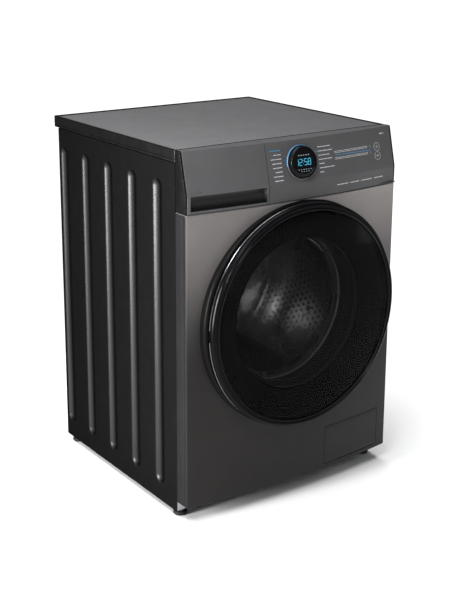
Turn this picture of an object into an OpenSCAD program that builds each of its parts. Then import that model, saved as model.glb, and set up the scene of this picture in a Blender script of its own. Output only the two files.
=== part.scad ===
/* [Cabinet] */
// Width of the cabinet, side to side
body_w = 595; // [590:1:600]
// Height from the floor to the top
body_h = 850; // [845:1:855]
// Overall depth, from the rear edge of the top to the front of the door
body_d = 636; // [630:1:645]
// Bow of the front in plan, from its side edges to its middle
front_bow = 21; // [18:1:24]
// Sheet thickness of the steel panels
sheet = 1.2; // [0.8:0.1:1.6]
// Depth of the front panel's side returns
return_d = 39; // [36:1:42]
// Number of pressed ribs on each side panel
rib_count = 5; // [4:1:5]
// Distance between the ribs
rib_pitch = 106; // [96:1:108]

/* [Front] */
// Height of the bottom edge of the front panel
front_z0 = 40; // [38:1:44]
// Height of the gap between front panel and control panel
gap_z = 716; // [714:1:718]
// Height of the fold of the control panel
fold_z = 757; // [755:1:759]
// How far the control panel leans back at its top
lean = 22; // [20:1:24]
// Thickness of the control panel's skin
skin = 3; // [2.5:0.1:3.5]
// Left edge of the fascia, which is the right edge of the drawer
drawer_x1 = -90; // [-92:1:-88]
// Height of the middle of the dial
dial_z = 799; // [797:1:801]

/* [Door and drum] */
// Height of the middle of the door and the drum
axis_z = 451; // [449:1:453]
// Outer radius of the door's rim
rim_r = 262; // [260:1:262]
// Radius of the front glass
glass_r = 244; // [243:1:244]
// Radius of the window behind the glass
window_r = 178; // [176:1:179]
// Outer radius of the drum
drum_r = 245; // [242:1:246]
// Outer radius of the tub
tub_r = 266; // [265:1:267]
// Number of lifters in the drum
lifter_count = 3; // [3:1:4]

/* [Hidden] */

$fn = 96;
eps = 0.5;
run_gap = 0.05;
half_w = body_w / 2;
back_y = body_d / 2;
door_proud = 30;
crown_y = -body_d / 2 + door_proud;
edge_y = crown_y + front_bow;
bow_r = (half_w * half_w + front_bow * front_bow) / (2 * front_bow);
seam_y = edge_y + return_d;
cab_back_y = back_y - 20;
side_z0 = 16;
cover_z0 = body_h - 27;
panel_gap = 1.5;
tilt = atan(lean / (body_h - fold_z));
top_edge_y = edge_y + lean;
inner_x = half_w - sheet;

// Door depths, from front to back
door_y0 = -body_d / 2;
rim_back_y = door_y0 + 22;
surround_y = crown_y - 4;
surround_r = 265;
door_hole_r = 200;
pivot_x = -253;
pivot_y = door_y0 + 12;
pin_r = 3.2;
arm_half_z = 12;
dish_y = [door_y0 + 9, door_y0 + 32];

// Tub, drum and drive, from front to back
tub_y0 = -217;
tub_joint_y = -20;
tub_y1 = 190;
tub_wall = 4;
heater_z = axis_z - tub_r + tub_wall + 8;
drum_y0 = -204;
drum_y1 = 150;
pulley_y = 252;
belt_w = 12;
drum_pulley_r = 140;
motor_pulley_r = 10;
motor_x = -60;
motor_z = 112;
shaft_r = 15;
spring_x = 235;
spring_y = 40;
spring_z = [622, 782];
seat_z = spring_z[1] + 4;
damper_x = 130;
foot_x = half_w - 20;
foot_y = [edge_y + 58, cab_back_y - 27];
foot_r = 16;
stem_r = 5;
flap_x = [84, 265];
flap_z = [52, 147];
flap_pin_z = 59;
filter_x = 175;
filter_z = 100;
drain_x = 215;
valve_x = -200;
valve_z = 790;
button_x = 241;
button_z = [786.5, 807];
button_r = 8.4;
flap_half = (flap_x[1] - flap_x[0]) / 2;
drawer_mid_x = (drawer_x1 - half_w + 4) / 2;
drawer_x0 = -half_w + 4.8;
tray_x = [-283, -103];
tray_y = [-240, -14];
tray_z = [735, 800];
cord_x = 235;
cord_z = 700;

// Openings and screws of the rear panel
cover_hole = [[-180, 0, 90], [180, 0, 610]];
transit_at = [for (sx = [-1, 1], z = [300, 600]) [sx * 235, z]];
screw_at = [for (sx = [-1, 1], z = [80, 260, 440, 620]) [sx * 180, z]];

function sag(x) = bow_r - sqrt(bow_r * bow_r - x * x);
function bow_y(x) = crown_y + sag(x);

// A box given by its lowest and highest corners
module box(a, b) {
    translate(a)
        cube(b - a);
}

// A ring or disc along Y, about the axis x, z
module disc_y(x, z, y0, y1, r, bore = 0) {
    translate([x, y0, z])
        rotate([-90, 0, 0])
            difference() {
                cylinder(r = r, h = y1 - y0);
                if (bore > 0)
                    translate([0, 0, -1])
                        cylinder(r = bore, h = y1 - y0 + 2);
            }
}

// A profile of radius and Y, turned about the door's axis
module turned_y(points) {
    translate([0, 0, axis_z])
        rotate([-90, 0, 0])
            rotate_extrude($fn = 180)
                polygon(points);
}

// Everything behind the bowed front, set back by inset
module behind_bow(inset) {
    translate([0, crown_y + bow_r, -10])
        cylinder(r = bow_r - inset, h = body_h + 20, $fn = 720);
}

// Everything behind the leaning face of the control panel
module behind_slant(inset) {
    translate([0, crown_y, fold_z])
        rotate([-tilt, 0, 0])
            translate([0, bow_r, -200])
                cylinder(r = bow_r - inset, h = 400, $fn = 720);
}

// Bowed sheet between two widths and two heights
module bowed_skin(x0, x1, z0, z1, thick) {
    intersection() {
        difference() {
            behind_bow(0);
            behind_bow(thick);
        }
        box([x0, crown_y - 1, z0], [x1, seam_y, z1]);
    }
}

// Skin of the control panel: upright below the fold, leaning above it
module control_skin(x0, x1) {
    difference() {
        intersection() {
            behind_bow(0);
            behind_slant(0);
            box([x0, crown_y - 1, gap_z + panel_gap], [x1, seam_y, body_h]);
        }
        intersection() {
            behind_bow(skin);
            behind_slant(skin);
        }
    }
}

// Places children on the leaning face, -Y outward
module on_slant(x, z) {
    y = crown_y + (z - fold_z) * tan(tilt) + sag(x) / cos(tilt);
    translate([x, y, z])
        rotate([-tilt, 0, 0])
            rotate([0, 0, asin(x / bow_r)])
                children();
}

// A disc or ring whose axis is the local Y
module local_disc(y0, y1, r, bore = 0) {
    disc_y(0, 0, y0, y1, r, bore);
}

module at_feet() {
    for (sx = [-1, 1], y = foot_y)
        translate([sx * foot_x, y, 0])
            children();
}

// Upright channel with round ends
module rib_form(y, r, inset) {
    z0 = 77;
    z1 = cover_z0 - 63;
    translate([inset, y, z0])
        cylinder(r = r, h = z1 - z0);
    for (z = [z0, z1])
        translate([inset, y, z])
            sphere(r = r);
}

module side_panel(sign) {
    rib_w = 30;
    rib_depth = 5;
    rib_form_r = (pow(rib_w / 2, 2) + pow(rib_depth, 2)) / (2 * rib_depth);
    rib_mid_y = (seam_y + cab_back_y) / 2 + 21;
    mirror([sign > 0 ? 1 : 0, 0, 0])
        translate([-half_w, 0, 0])
            difference() {
                union() {
                    box([0, seam_y + eps, side_z0], [sheet, cab_back_y, cover_z0]);
                    box([0, cab_back_y - sheet, side_z0], [16, cab_back_y, cover_z0]);
                    box([sheet / 2, spring_y - 16, seat_z],
                        [half_w - spring_x + 16, spring_y + 16, seat_z + 5]);
                    intersection() {
                        for (i = [0:rib_count - 1])
                            rib_form(rib_mid_y + (i - (rib_count - 1) / 2) * rib_pitch,
                                rib_form_r + sheet, rib_depth - rib_form_r);
                        box([sheet / 2, seam_y + 1, side_z0], [16, cab_back_y, cover_z0]);
                    }
                }
                for (i = [0:rib_count - 1])
                    rib_form(rib_mid_y + (i - (rib_count - 1) / 2) * rib_pitch,
                        rib_form_r, rib_depth - rib_form_r);
            }
}

module side_panel_left() {
    color("#232325")
        side_panel(-1);
}

module side_panel_right() {
    color("#232325")
        side_panel(1);
}

module rear_panel() {
    y0 = cab_back_y - 2 * sheet;
    y1 = cab_back_y - sheet;
    color("#2b2b2d")
        difference() {
            box([-inner_x + eps, y0, front_z0], [inner_x - eps, y1, cover_z0]);
            box([cover_hole[0].x, y0 - 1, cover_hole[0].z], [cover_hole[1].x, y1 + 1, cover_hole[1].z]);
            for (p = transit_at)
                disc_y(p.x, p.y, y0 - 1, y1 + 1, 12);
            disc_y(valve_x, valve_z, y0 - 1, y1 + 1, 20);
            disc_y(drain_x, filter_z, y0 - 1, y1 + 1, 13);
            disc_y(cord_x, cord_z, y0 - 1, y1 + 1, 9);
            for (p = screw_at)
                disc_y(p.x, p.y, y0 - 1, y1 + 1, 2);
        }
}

module rear_service_cover() {
    y0 = cab_back_y - sheet;
    color("#2b2b2d")
        difference() {
            union() {
                box([-194, y0, 66], [194, y0 + sheet, 634]);
                box([-165, y0, 100], [165, y0 + 8, 605]);
            }
            box([-165 + sheet, y0 - 1, 100 + sheet], [165 - sheet, y0 + 8 - sheet, 605 - sheet]);
            for (p = screw_at)
                disc_y(p.x, p.y, y0 - 1, y0 + 4, 2);
        }
}

module case_screws() {
    y0 = cab_back_y;
    color("#8f9295")
        for (p = screw_at) {
            disc_y(p.x, p.y, y0, y0 + 2.4, 4);
            disc_y(p.x, p.y, y0 - 10, y0 + 0.1, 2);
        }
}

module base_frame() {
    rail_w = 38;
    front_y = seam_y + 3;
    rear_y = cab_back_y - 3;
    color("#3a3b3d")
        difference() {
            union() {
                for (sx = [-1, 1])
                    difference() {
                        box([min(sx * (inner_x - eps), sx * (inner_x - rail_w)), front_y, side_z0 + 1],
                            [max(sx * (inner_x - eps), sx * (inner_x - rail_w)), rear_y, front_z0]);
                        box([min(sx * (inner_x - 3), sx * (inner_x - rail_w + 3)), front_y + 50, side_z0],
                            [max(sx * (inner_x - 3), sx * (inner_x - rail_w + 3)), rear_y - 50, front_z0 - 2]);
                    }
                for (y = [front_y, -20, rear_y - 30])
                    difference() {
                        box([-inner_x + rail_w - 1, y, side_z0 + 1],
                            [inner_x - rail_w + 1, y + 40, front_z0]);
                        box([-inner_x + rail_w, y + 2, side_z0], [inner_x - rail_w, y + 38, front_z0 - 2]);
                    }
            }
            at_feet()
                cylinder(r = stem_r + run_gap, h = 60);
            box([-inner_x, rear_y, 0], [inner_x, rear_y + 20, 60]);
        }
}

module foot_lock_nuts() {
    color("#8f9295")
        at_feet()
            translate([0, 0, 10.5])
                difference() {
                    cylinder(r = 9, h = 6, $fn = 6);
                    translate([0, 0, -1])
                        cylinder(r = stem_r + run_gap, h = 8);
                }
}

module foot(sx, y) {
    color("#161617")
        translate([sx * foot_x, y, 0]) {
            rotate_extrude()
                polygon([[0, 0], [foot_r - 2, 0], [foot_r, 2], [foot_r, 8], [foot_r - 3, 10], [0, 10]]);
            cylinder(r = stem_r, h = 38);
        }
}

module foot_front_left() {
    foot(-1, foot_y[0]);
}

module foot_front_right() {
    foot(1, foot_y[0]);
}

module foot_back_left() {
    foot(-1, foot_y[1]);
}

module foot_back_right() {
    foot(1, foot_y[1]);
}

module flap_frame() {
    translate([filter_x, bow_y(filter_x) + 5, flap_pin_z])
        rotate([0, 0, asin(filter_x / bow_r)])
            children();
}

module front_panel() {
    color("#55524f")
        difference() {
            union() {
                intersection() {
                    difference() {
                        behind_bow(0);
                        intersection() {
                            behind_bow(sheet);
                            box([-inner_x, crown_y, front_z0 + sheet], [inner_x, seam_y + 1, gap_z - sheet]);
                        }
                    }
                    box([-half_w, crown_y - 1, front_z0], [half_w, seam_y, gap_z]);
                }
                intersection() {
                    disc_y(0, axis_z, crown_y, -262, door_hole_r + sheet, door_hole_r);
                    behind_bow(0.2);
                }
                flap_frame()
                    for (sx = [-1, 1])
                        translate([sx * (flap_half + 5) - 2, -2.4, -6])
                            cube([4, 12, 12]);
            }
            disc_y(0, axis_z, crown_y - 1, crown_y + 40, door_hole_r);
            box([flap_x[0] - 0.8, crown_y - 1, flap_z[0] - 2],
                [flap_x[1] + 0.8, bow_y(flap_x[1]) + 4, flap_z[1] + 0.8]);
            flap_frame()
                for (sx = [-1, 1])
                    translate([sx * (flap_half + 5) - 4.5, 0, 0])
                        rotate([0, 90, 0])
                            cylinder(r = 1.8 + run_gap, h = 9);
            box([218, crown_y, axis_z - 13], [240, seam_y - 5, axis_z + 13]);
        }
}

module filter_flap() {
    color("#3a3836") {
        bowed_skin(flap_x[0], flap_x[1], flap_z[0], flap_z[1], 2.5);
        flap_frame()
            for (sx = [-1, 1]) {
                translate([sx * (flap_half - 4) - 3.5, -3, -3])
                    cube([7, 5.5, 6]);
                translate([sx * flap_half - 7.5, 0, 0])
                    rotate([0, 90, 0])
                        cylinder(r = 1.8, h = 15);
            }
    }
}

module top_frame() {
    border = 12;
    color("#3b3c3e")
        difference() {
            box([-half_w, seam_y + eps, cover_z0], [half_w, back_y, body_h]);
            box([-half_w + border, seam_y - 1, cover_z0 - 1], [half_w - border, back_y - border, body_h - 9]);
            box([-half_w + border - 8, seam_y + border - 6, body_h - 9.5],
                [half_w - border + 8, back_y - border + 8, body_h - 3]);
            box([-half_w + border, seam_y + border, body_h - 4],
                [half_w - border, back_y - border, body_h + 1]);
        }
}

module top_board() {
    color("#6b6c6d")
        box([-half_w + 5, seam_y + 7, body_h - 9], [half_w - 5, back_y - 5, body_h - 3]);
}

module control_carrier() {
    cheek = 4;
    color("#2a2b2d") {
        for (sx = [-1, 1])
            translate([sx > 0 ? half_w - cheek : -half_w, 0, 0])
                rotate([90, 0, 90])
                    linear_extrude(cheek)
                        polygon([[seam_y, gap_z + panel_gap], [edge_y + 0.3, gap_z + panel_gap],
                            [edge_y + 0.3, fold_z], [top_edge_y + 0.3, body_h], [seam_y, body_h]]);
        intersection() {
            behind_bow(skin + 0.5);
            union() {
                box([-half_w + cheek, crown_y, gap_z + panel_gap],
                    [half_w - cheek, seam_y, gap_z + panel_gap + 2]);
                box([drawer_x1 + 1.5, crown_y, gap_z + 3], [drawer_x1 + 3.5, seam_y, fold_z]);
            }
        }
        box([drawer_x1 + 1.5, seam_y - 2, gap_z + 3], [half_w - cheek, seam_y, cover_z0]);
        intersection() {
            behind_slant(skin + 0.1);
            box([-half_w + cheek, crown_y, body_h - 3], [half_w - cheek, seam_y, body_h]);
        }
    }
}

module control_fascia() {
    color("#4b4b4d")
        difference() {
            control_skin(drawer_x1 + 0.8, half_w - 4.3);
            on_slant(0, dial_z)
                local_disc(-20, 20, 38.05);
            for (z = button_z)
                on_slant(button_x, z)
                    local_disc(-10, 10, button_r + 0.3);
        }
}

module dial_bezel() {
    color("#9c9ea0")
        on_slant(0, dial_z)
            rotate([-90, 0, 0])
                rotate_extrude()
                    polygon([[36.5, 8], [38, 8], [38, 0], [39.2, 0], [39.2, -2.5], [38, -4], [37, -4],
                        [36.5, -3]]);
}

module dial_knob() {
    color("#111214")
        on_slant(0, dial_z)
            rotate([-90, 0, 0])
                rotate_extrude()
                    polygon([[33.2, 4], [36, 4], [36, -13], [34.8, -15], [33.2, -15]]);
}

module display_lens() {
    color("#08090a")
        on_slant(0, dial_z)
            rotate([-90, 0, 0])
                rotate_extrude()
                    polygon([[0, -14], [32, -14], [33.1, -13.2], [33.1, 18], [30.5, 18], [30.5, -11],
                        [0, -11]]);
}

module display_board() {
    color("#1e5a3a")
        on_slant(0, dial_z)
            translate([-80, 18, -34])
                cube([300, 1.6, 74]);
}

module button(z) {
    color("#3f4042")
        on_slant(button_x, z) {
            local_disc(-0.6, 4.2, button_r);
            local_disc(4.2, 5.6, button_r + 1.2);
        }
}

module power_button() {
    button(button_z[1]);
}

module start_button() {
    button(button_z[0]);
}

// Places children at the middle of the drawer's front, along its chord
module on_drawer(z) {
    translate([drawer_mid_x, bow_y(drawer_mid_x), z])
        rotate([0, 0, asin(drawer_mid_x / bow_r)])
            children();
}

module drawer_front() {
    grip_w = 190;
    grip_r = 23;
    grip_mid = 745;
    grip_up = 11;
    color("#5b5b5d")
        difference() {
            union() {
                control_skin(drawer_x0, drawer_x1 - 0.8);
                on_drawer(grip_mid)
                    translate([-grip_w / 2 - 2, 2.8, -24.6])
                        cube([grip_w + 4, 24.5, 43]);
                intersection() {
                    behind_slant(skin - 0.5);
                    box([-280, crown_y, 762], [-106, tray_y[0], 796]);
                }
            }
            on_drawer(grip_mid) {
                intersection() {
                    translate([-grip_w / 2, 0, 0])
                        rotate([0, 90, 0])
                            cylinder(r = grip_r, h = grip_w);
                    translate([-grip_w / 2, -5, -grip_r])
                        cube([grip_w, grip_r + 5, grip_r]);
                }
                translate([-grip_w / 2, -10, -grip_r + 1])
                    cube([grip_w, 12, grip_r - 1 + grip_up]);
                translate([-grip_w / 2, 0, -1])
                    cube([grip_w, grip_r, grip_up + 1]);
                translate([-grip_w / 2, 5, 5])
                    cube([grip_w, grip_r - 5, grip_up - 1]);
            }
        }
}

module drawer_tray() {
    wall = 2;
    color("#c9cbcc")
        difference() {
            box([tray_x[0], tray_y[0], tray_z[0]], [tray_x[1], tray_y[1], tray_z[1]]);
            box([tray_x[0] + wall, tray_y[0] + wall, tray_z[0] + wall],
                [-222, tray_y[1] - wall, tray_z[1] + 1]);
            box([-220, tray_y[0] + wall, tray_z[0] + wall], [-163, tray_y[1] - wall, tray_z[1] + 1]);
            box([-161, tray_y[0] + wall, tray_z[0] + wall],
                [tray_x[1] - wall, tray_y[1] - wall, tray_z[1] + 1]);
        }
}

module dispenser_housing() {
    gap = 2;
    wall = 2;
    color("#b9bbbc")
        difference() {
            box([tray_x[0] - gap - wall, seam_y - 9, tray_z[0] - gap - wall],
                [tray_x[1] + gap + wall, 0, tray_z[1] + 18]);
            box([tray_x[0] - gap, seam_y - 16, tray_z[0] - gap], [tray_x[1] + gap, -wall, tray_z[1] + 16]);
            translate([-150, -60, 700])
                cylinder(r = 15, h = 34);
            disc_y(valve_x, tray_z[1] + 5, -10, 10, 5);
        }
}

module inlet_valve() {
    color("#e3e4e2")
        difference() {
            union() {
                box([valve_x - 20, 245, valve_z - 20], [valve_x + 20, cab_back_y - 2 * sheet, valve_z + 22]);
                disc_y(valve_x, valve_z, cab_back_y - 4, cab_back_y + 1.5, 17);
                disc_y(valve_x, valve_z, cab_back_y, back_y - 3, 13.2);
                disc_y(valve_x, valve_z + 15, 225, 246, 7);
            }
            disc_y(valve_x, valve_z, cab_back_y - 20, back_y, 9);
            disc_y(valve_x, valve_z + 15, 220, 260, 5);
        }
}

module fill_hose() {
    color("#2f3032")
        disc_y(valve_x, tray_z[1] + 5, 0, 225, 7, 5);
}

module door_surround() {
    color("#1b1c1e")
        difference() {
            turned_y([[248, surround_y], [surround_r - 3, surround_y], [surround_r, surround_y + 4],
                [surround_r, edge_y], [248, edge_y]]);
            behind_bow(0);
        }
}

module door_lock() {
    color("#d0d1cf")
        difference() {
            box([212, -270, axis_z - 40], [246, -246, axis_z + 40]);
            box([216, -271, axis_z - 12], [242, -250, axis_z + 12]);
        }
}

module hinge_bracket() {
    color("#8f9295")
        difference() {
            union() {
                translate([pivot_x, pivot_y, axis_z - arm_half_z])
                    cylinder(r = 5.4, h = 2 * arm_half_z);
                box([pivot_x, pivot_y - 2.5, axis_z - arm_half_z],
                    [pivot_x + 11.5, pivot_y + 2.5, axis_z + arm_half_z]);
                box([pivot_x + 7.5, pivot_y - 2.5, axis_z - arm_half_z],
                    [pivot_x + 11.5, pivot_y + 30, axis_z + arm_half_z]);
                box([pivot_x + 7.5, -284, axis_z - arm_half_z], [-208, -266, axis_z + arm_half_z]);
                box([-240, -284, axis_z - 32], [-208, -266, axis_z + 32]);
            }
            behind_bow(0);
        }
    color("#b5b7b9")
        translate([pivot_x, pivot_y, axis_z - 32])
            cylinder(r = pin_r, h = 64);
}

module bellows() {
    color("#2c2d2f")
        turned_y([[190, -262], [206, -262], [206, -256], [194, -256], [194, -237], [198, -237], [198, -223],
            [192, -223], [192, tub_y0], [178, tub_y0], [178, -222], [187, -224], [187, -229], [194, -229],
            [194, -233], [190, -233]]);
}

module door_rim() {
    slot_z = arm_half_z + 1.5;
    color("#141517")
        difference() {
            turned_y([[246, rim_back_y], [258.5, rim_back_y], [rim_r, door_y0 + 6], [rim_r - 1, door_y0 + 4],
                [257, door_y0], [253, door_y0], [253, door_y0 + 3], [250, door_y0 + 3], [250, door_y0 + 0.5],
                [glass_r + 0.5, door_y0 + 0.5], [glass_r + 0.5, door_y0 + 6], [240, door_y0 + 6],
                [240, door_y0 + 8.5], [246, door_y0 + 8.5]]);
            translate([pivot_x, pivot_y, axis_z - slot_z])
                cylinder(r = 6.2, h = 2 * slot_z);
            box([pivot_x, pivot_y - 3.2, axis_z - slot_z], [-236, rim_back_y + 1, axis_z + slot_z]);
            box([-266, pivot_y + 3, axis_z - slot_z], [-236, rim_back_y + 1, axis_z + slot_z]);
            translate([pivot_x, pivot_y, axis_z - 33])
                cylinder(r = pin_r + run_gap, h = 66);
        }
}

module door_front_glass() {
    color([0.06, 0.06, 0.07, 0.5])
        disc_y(0, axis_z, door_y0 + 1.5, door_y0 + 6, glass_r);
}

module door_dish() {
    dish_out = 239;
    thick = 2.2;
    color("#0c0c0e")
        turned_y([[dish_out, dish_y[0]], [window_r, dish_y[1]], [window_r, dish_y[1] + thick],
            [window_r + 2, dish_y[1] + thick],
            [dish_out, dish_y[0] + thick]]);
}

module door_back_frame() {
    slot_z = arm_half_z + 1.5;
    color("#26272a")
        difference() {
            turned_y([[245.5, rim_back_y - 2.5], [245.5, rim_back_y + 0.5], [222, rim_back_y + 0.5],
                [199.5, -289.2],
                [186, -282.3], [186, -258], [169, -258], [169, -261], [183, -261], [183, -283.4],
                [200, -290.9], [222, rim_back_y - 2.5]]);
            box([-250, pivot_y - 6, axis_z - slot_z], [-239.5, rim_back_y + 3, axis_z + slot_z]);
        }
}

module door_bowl() {
    color([0.55, 0.58, 0.6, 0.4])
        turned_y([[0, -212], [112, -211], [124, -215], [133, -224], [163, -261], [182.5, -261], [182.5, -265],
            [160.5, -265], [129.5, -227], [121.5, -218.5], [111.5, -215], [0, -216]]);
}

module door_hook() {
    color("#b5b7b9") {
        box([225, rim_back_y + 0.5, axis_z - 8], [231, -262, axis_z + 8]);
        box([225, -266, axis_z - 8], [236, -262, axis_z + 8]);
    }
}

module pump_body() {
    color("#d6d7d4")
        difference() {
            union() {
                disc_y(filter_x, filter_z, -250, -150, 38);
                disc_y(filter_x, filter_z, -150, -100, 26);
                disc_y(drain_x, filter_z, -165, -80, 11);
                box([filter_x - 40, seam_y + 1, front_z0], [filter_x + 40, -130, filter_z - 30]);
                translate([filter_x - 25, -190, filter_z])
                    cylinder(r = 20, h = 50);
            }
            disc_y(filter_x, filter_z, -251, -170, 28 + run_gap);
            disc_y(drain_x, filter_z, -120, -79, 9);
            translate([filter_x - 25, -190, filter_z])
                cylinder(r = 17, h = 51);
        }
}

module filter_cap() {
    color("#1d2a33")
        difference() {
            union() {
                disc_y(filter_x, filter_z, -262, -250.3, 34);
                disc_y(filter_x, filter_z, -251, -185, 28);
                translate([filter_x, -266, filter_z])
                    cube([50, 10, 7], center = true);
            }
            disc_y(filter_x, filter_z, -240, -184, 25);
            for (a = [0:45:135])
                translate([filter_x, -210, filter_z])
                    rotate([0, a, 0])
                        cube([80, 30, 8], center = true);
        }
}

module tub_boots() {
    color("#202123") {
        translate([-150, -60, 692])
            difference() {
                cylinder(r = 18, h = tray_z[0] - 4 - 692);
                translate([0, 0, -1])
                    cylinder(r = 15, h = 60);
            }
        translate([filter_x - 25, -190, filter_z + 50])
            difference() {
                cylinder(r = 22, h = 56);
                translate([0, 0, -1])
                    cylinder(r = 18, h = 60);
            }
    }
}

module drain_pipe() {
    color("#8a8c8e")
        difference() {
            union() {
                disc_y(drain_x, filter_z, -80, 290, 10.5);
                disc_y(drain_x, filter_z, cab_back_y, back_y - 2, 11);
                disc_y(drain_x, filter_z, 286, cab_back_y - 2 * sheet, 18);
                disc_y(drain_x, filter_z, 290, cab_back_y + 1.5, 12.8);
            }
            disc_y(drain_x, filter_z, -81, back_y, 9);
        }
}

module cord_gland() {
    color("#161617")
        difference() {
            union() {
                disc_y(cord_x, cord_z, cab_back_y - 12, back_y - 8, 8.9);
                disc_y(cord_x, cord_z, cab_back_y - sheet, cab_back_y + 3, 13);
                disc_y(cord_x, cord_z, cab_back_y - 14, cab_back_y - 2 * sheet, 13);
            }
            disc_y(cord_x, cord_z, cab_back_y - 20, back_y, 4);
        }
}

module transit_caps() {
    color("#4a4b4d")
        for (p = transit_at) {
            disc_y(p.x, p.y, cab_back_y - sheet, cab_back_y + 3, 17);
            disc_y(p.x, p.y, cab_back_y - 14, cab_back_y - sheet + 0.1, 11.8);
        }
}

module damper_cylinders() {
    color("#3d3f42")
        for (sx = [-1, 1])
            translate([sx * damper_x, 0, front_z0])
                difference() {
                    cylinder(r = 18, h = 110);
                    translate([0, 0, 6])
                        cylinder(r = 6 + run_gap, h = 120);
                }
}

module damper_rods() {
    color("#b5b7b9")
        for (sx = [-1, 1])
            difference() {
                union() {
                    translate([sx * damper_x, 0, front_z0 + 30])
                        cylinder(r = 6, h = 120);
                    translate([sx * damper_x, 0, front_z0 + 140])
                        cylinder(r = 12, h = 50);
                }
                disc_y(0, axis_z, -30, 30, tub_r);
            }
}

// Points of a coil spring's centre line
function coil(turns, r, steps) = [
    for (i = [0:turns * steps])
        [r * cos(360 * i / steps), r * sin(360 * i / steps), (spring_z[1] - spring_z[0]) * i / (turns * steps)]
];

// Wire of square section along a coil
module coil_wire(turns, r, wire, steps) {
    path = coil(turns, r, steps);
    n = len(path);
    h = wire / 2;
    points = [
        for (i = [0:n - 1], k = [0:3])
            let (a = 360 * i / steps, d = (k == 0 || k == 3) ? -h : h)
            [path[i].x + d * cos(a), path[i].y + d * sin(a), path[i].z + (k < 2 ? h : -h) + h]
    ];
    faces = concat(
        [[3, 2, 1, 0], [4 * n - 4, 4 * n - 3, 4 * n - 2, 4 * n - 1]],
        [for (i = [0:n - 2], k = [0:3]) [4 * i + k, 4 * i + (k + 1) % 4, 4 * i + 4 + (k + 1) % 4]],
        [for (i = [0:n - 2], k = [0:3]) [4 * i + k, 4 * i + 4 + (k + 1) % 4, 4 * i + 4 + k]]);
    polyhedron(points, faces);
}

module suspension_springs() {
    color("#a7a9ab")
        for (sx = [-1, 1])
            translate([sx * spring_x, spring_y, spring_z[0]])
                coil_wire(9, 10, 4, 14);
}

module tub_ring(y0, y1, r, bore) {
    disc_y(0, axis_z, y0, y1, r, bore);
}

module tub_rear() {
    color("#d9dad8")
        difference() {
            union() {
                tub_ring(tub_joint_y, tub_y1, tub_r, tub_r - tub_wall);
                tub_ring(tub_joint_y, tub_joint_y + 6, tub_r + 9, tub_r - tub_wall);
                tub_ring(tub_y1 - 6, tub_y1, tub_r, 34);
                tub_ring(tub_y1 - 20, tub_y1 + 40, 40, 34);
                for (sx = [-1, 1])
                    difference() {
                        box([sx * spring_x - 12, spring_y - 14, axis_z + 100],
                            [sx * spring_x + 12, spring_y + 14, spring_z[0]]);
                        tub_ring(0, 100, tub_r - 0.5, 0);
                    }
                for (sx = [-1, 1])
                    difference() {
                        translate([motor_x + sx * 40 - 5, 60, motor_z + 36])
                            cube([10, 100, 75]);
                        tub_ring(0, 200, tub_r - 0.5, 0);
                        disc_y(motor_x, motor_z, 0, 250, 50);
                    }
            }
            for (sx = [-1, 1])
                disc_y(sx * 22, heater_z, tub_y1 - 7, tub_y1 + 1, 3.5);
        }
}

module tub_front() {
    color("#d9dad8") {
        difference() {
            union() {
                translate([-150, -60, axis_z])
                    cylinder(r = 14, h = 712 - axis_z);
                translate([filter_x - 25, -190, 170])
                    cylinder(r = 16.5, h = axis_z - 170);
            }
            tub_ring(tub_y0 + 5, tub_joint_y, tub_r - tub_wall, 0);
            translate([-150, -60, 600])
                cylinder(r = 12, h = 120);
            translate([filter_x - 25, -190, 160])
                cylinder(r = 14.5, h = 120);
        }
        difference() {
            tub_ring(tub_y0, tub_joint_y, tub_r, tub_r - tub_wall);
            translate([-150, -60, 600])
                cylinder(r = 12, h = 120);
            translate([filter_x - 25, -190, 160])
                cylinder(r = 14.5, h = 120);
        }
        tub_ring(tub_joint_y - 6, tub_joint_y, tub_r + 9, tub_r - tub_wall);
        tub_ring(tub_y0, tub_y0 + 5, tub_r, 178);
    }
}

module counterweight_front() {
    color("#9b9994")
        difference() {
            tub_ring(tub_y0 - 26, tub_y0, 254, 211);
            box([-90, tub_y0 - 30, axis_z - 300], [90, tub_y0 + 5, axis_z - 100]);
        }
}

module counterweight_top() {
    color("#9b9994")
        difference() {
            box([-60, 0, axis_z + 200], [95, 150, axis_z + 320]);
            tub_ring(-10, 200, tub_r, 0);
        }
}

module motor() {
    color("#5a5d61") {
        disc_y(motor_x, motor_z, 50, 190, 50);
        disc_y(motor_x, motor_z, 190, 198, 30);
    }
    color("#b5b7b9")
        disc_y(motor_x, motor_z, 198, pulley_y - 2, 6);
}

module motor_pulley() {
    color("#b5b7b9") {
        disc_y(motor_x, motor_z, pulley_y - 1, pulley_y + belt_w + 1, motor_pulley_r - 0.3);
        disc_y(motor_x, motor_z, pulley_y - 1.5, pulley_y - 0.5, motor_pulley_r + 3);
        disc_y(motor_x, motor_z, pulley_y + belt_w + 0.5, pulley_y + belt_w + 2, motor_pulley_r + 3);
    }
}

// Outline of the belt around both pulleys
module belt_outline(gap) {
    hull() {
        circle(r = drum_pulley_r + gap, $fn = 120);
        translate([motor_x, motor_z - axis_z])
            circle(r = motor_pulley_r + gap, $fn = 48);
    }
}

module drive_belt() {
    color("#141415")
        translate([0, pulley_y + belt_w, axis_z])
            rotate([90, 0, 0])
                linear_extrude(belt_w)
                    difference() {
                        belt_outline(3);
                        belt_outline(0);
                    }
}

module heater() {
    color("#9a8f86") {
        for (sx = [-1, 1])
            disc_y(sx * 22, heater_z, -120, tub_y1 + 2, 3.5);
        box([-22, -123, heater_z - 3.5], [22, -116, heater_z + 3.5]);
        box([-35, tub_y1, heater_z - 4], [35, tub_y1 + 10, heater_z + 16]);
    }
}

module bearings() {
    color("#c4c6c8")
        for (y = [tub_y1 - 18, tub_y1 + 22])
            tub_ring(y, y + 16, 34, shaft_r + run_gap);
}

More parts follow.
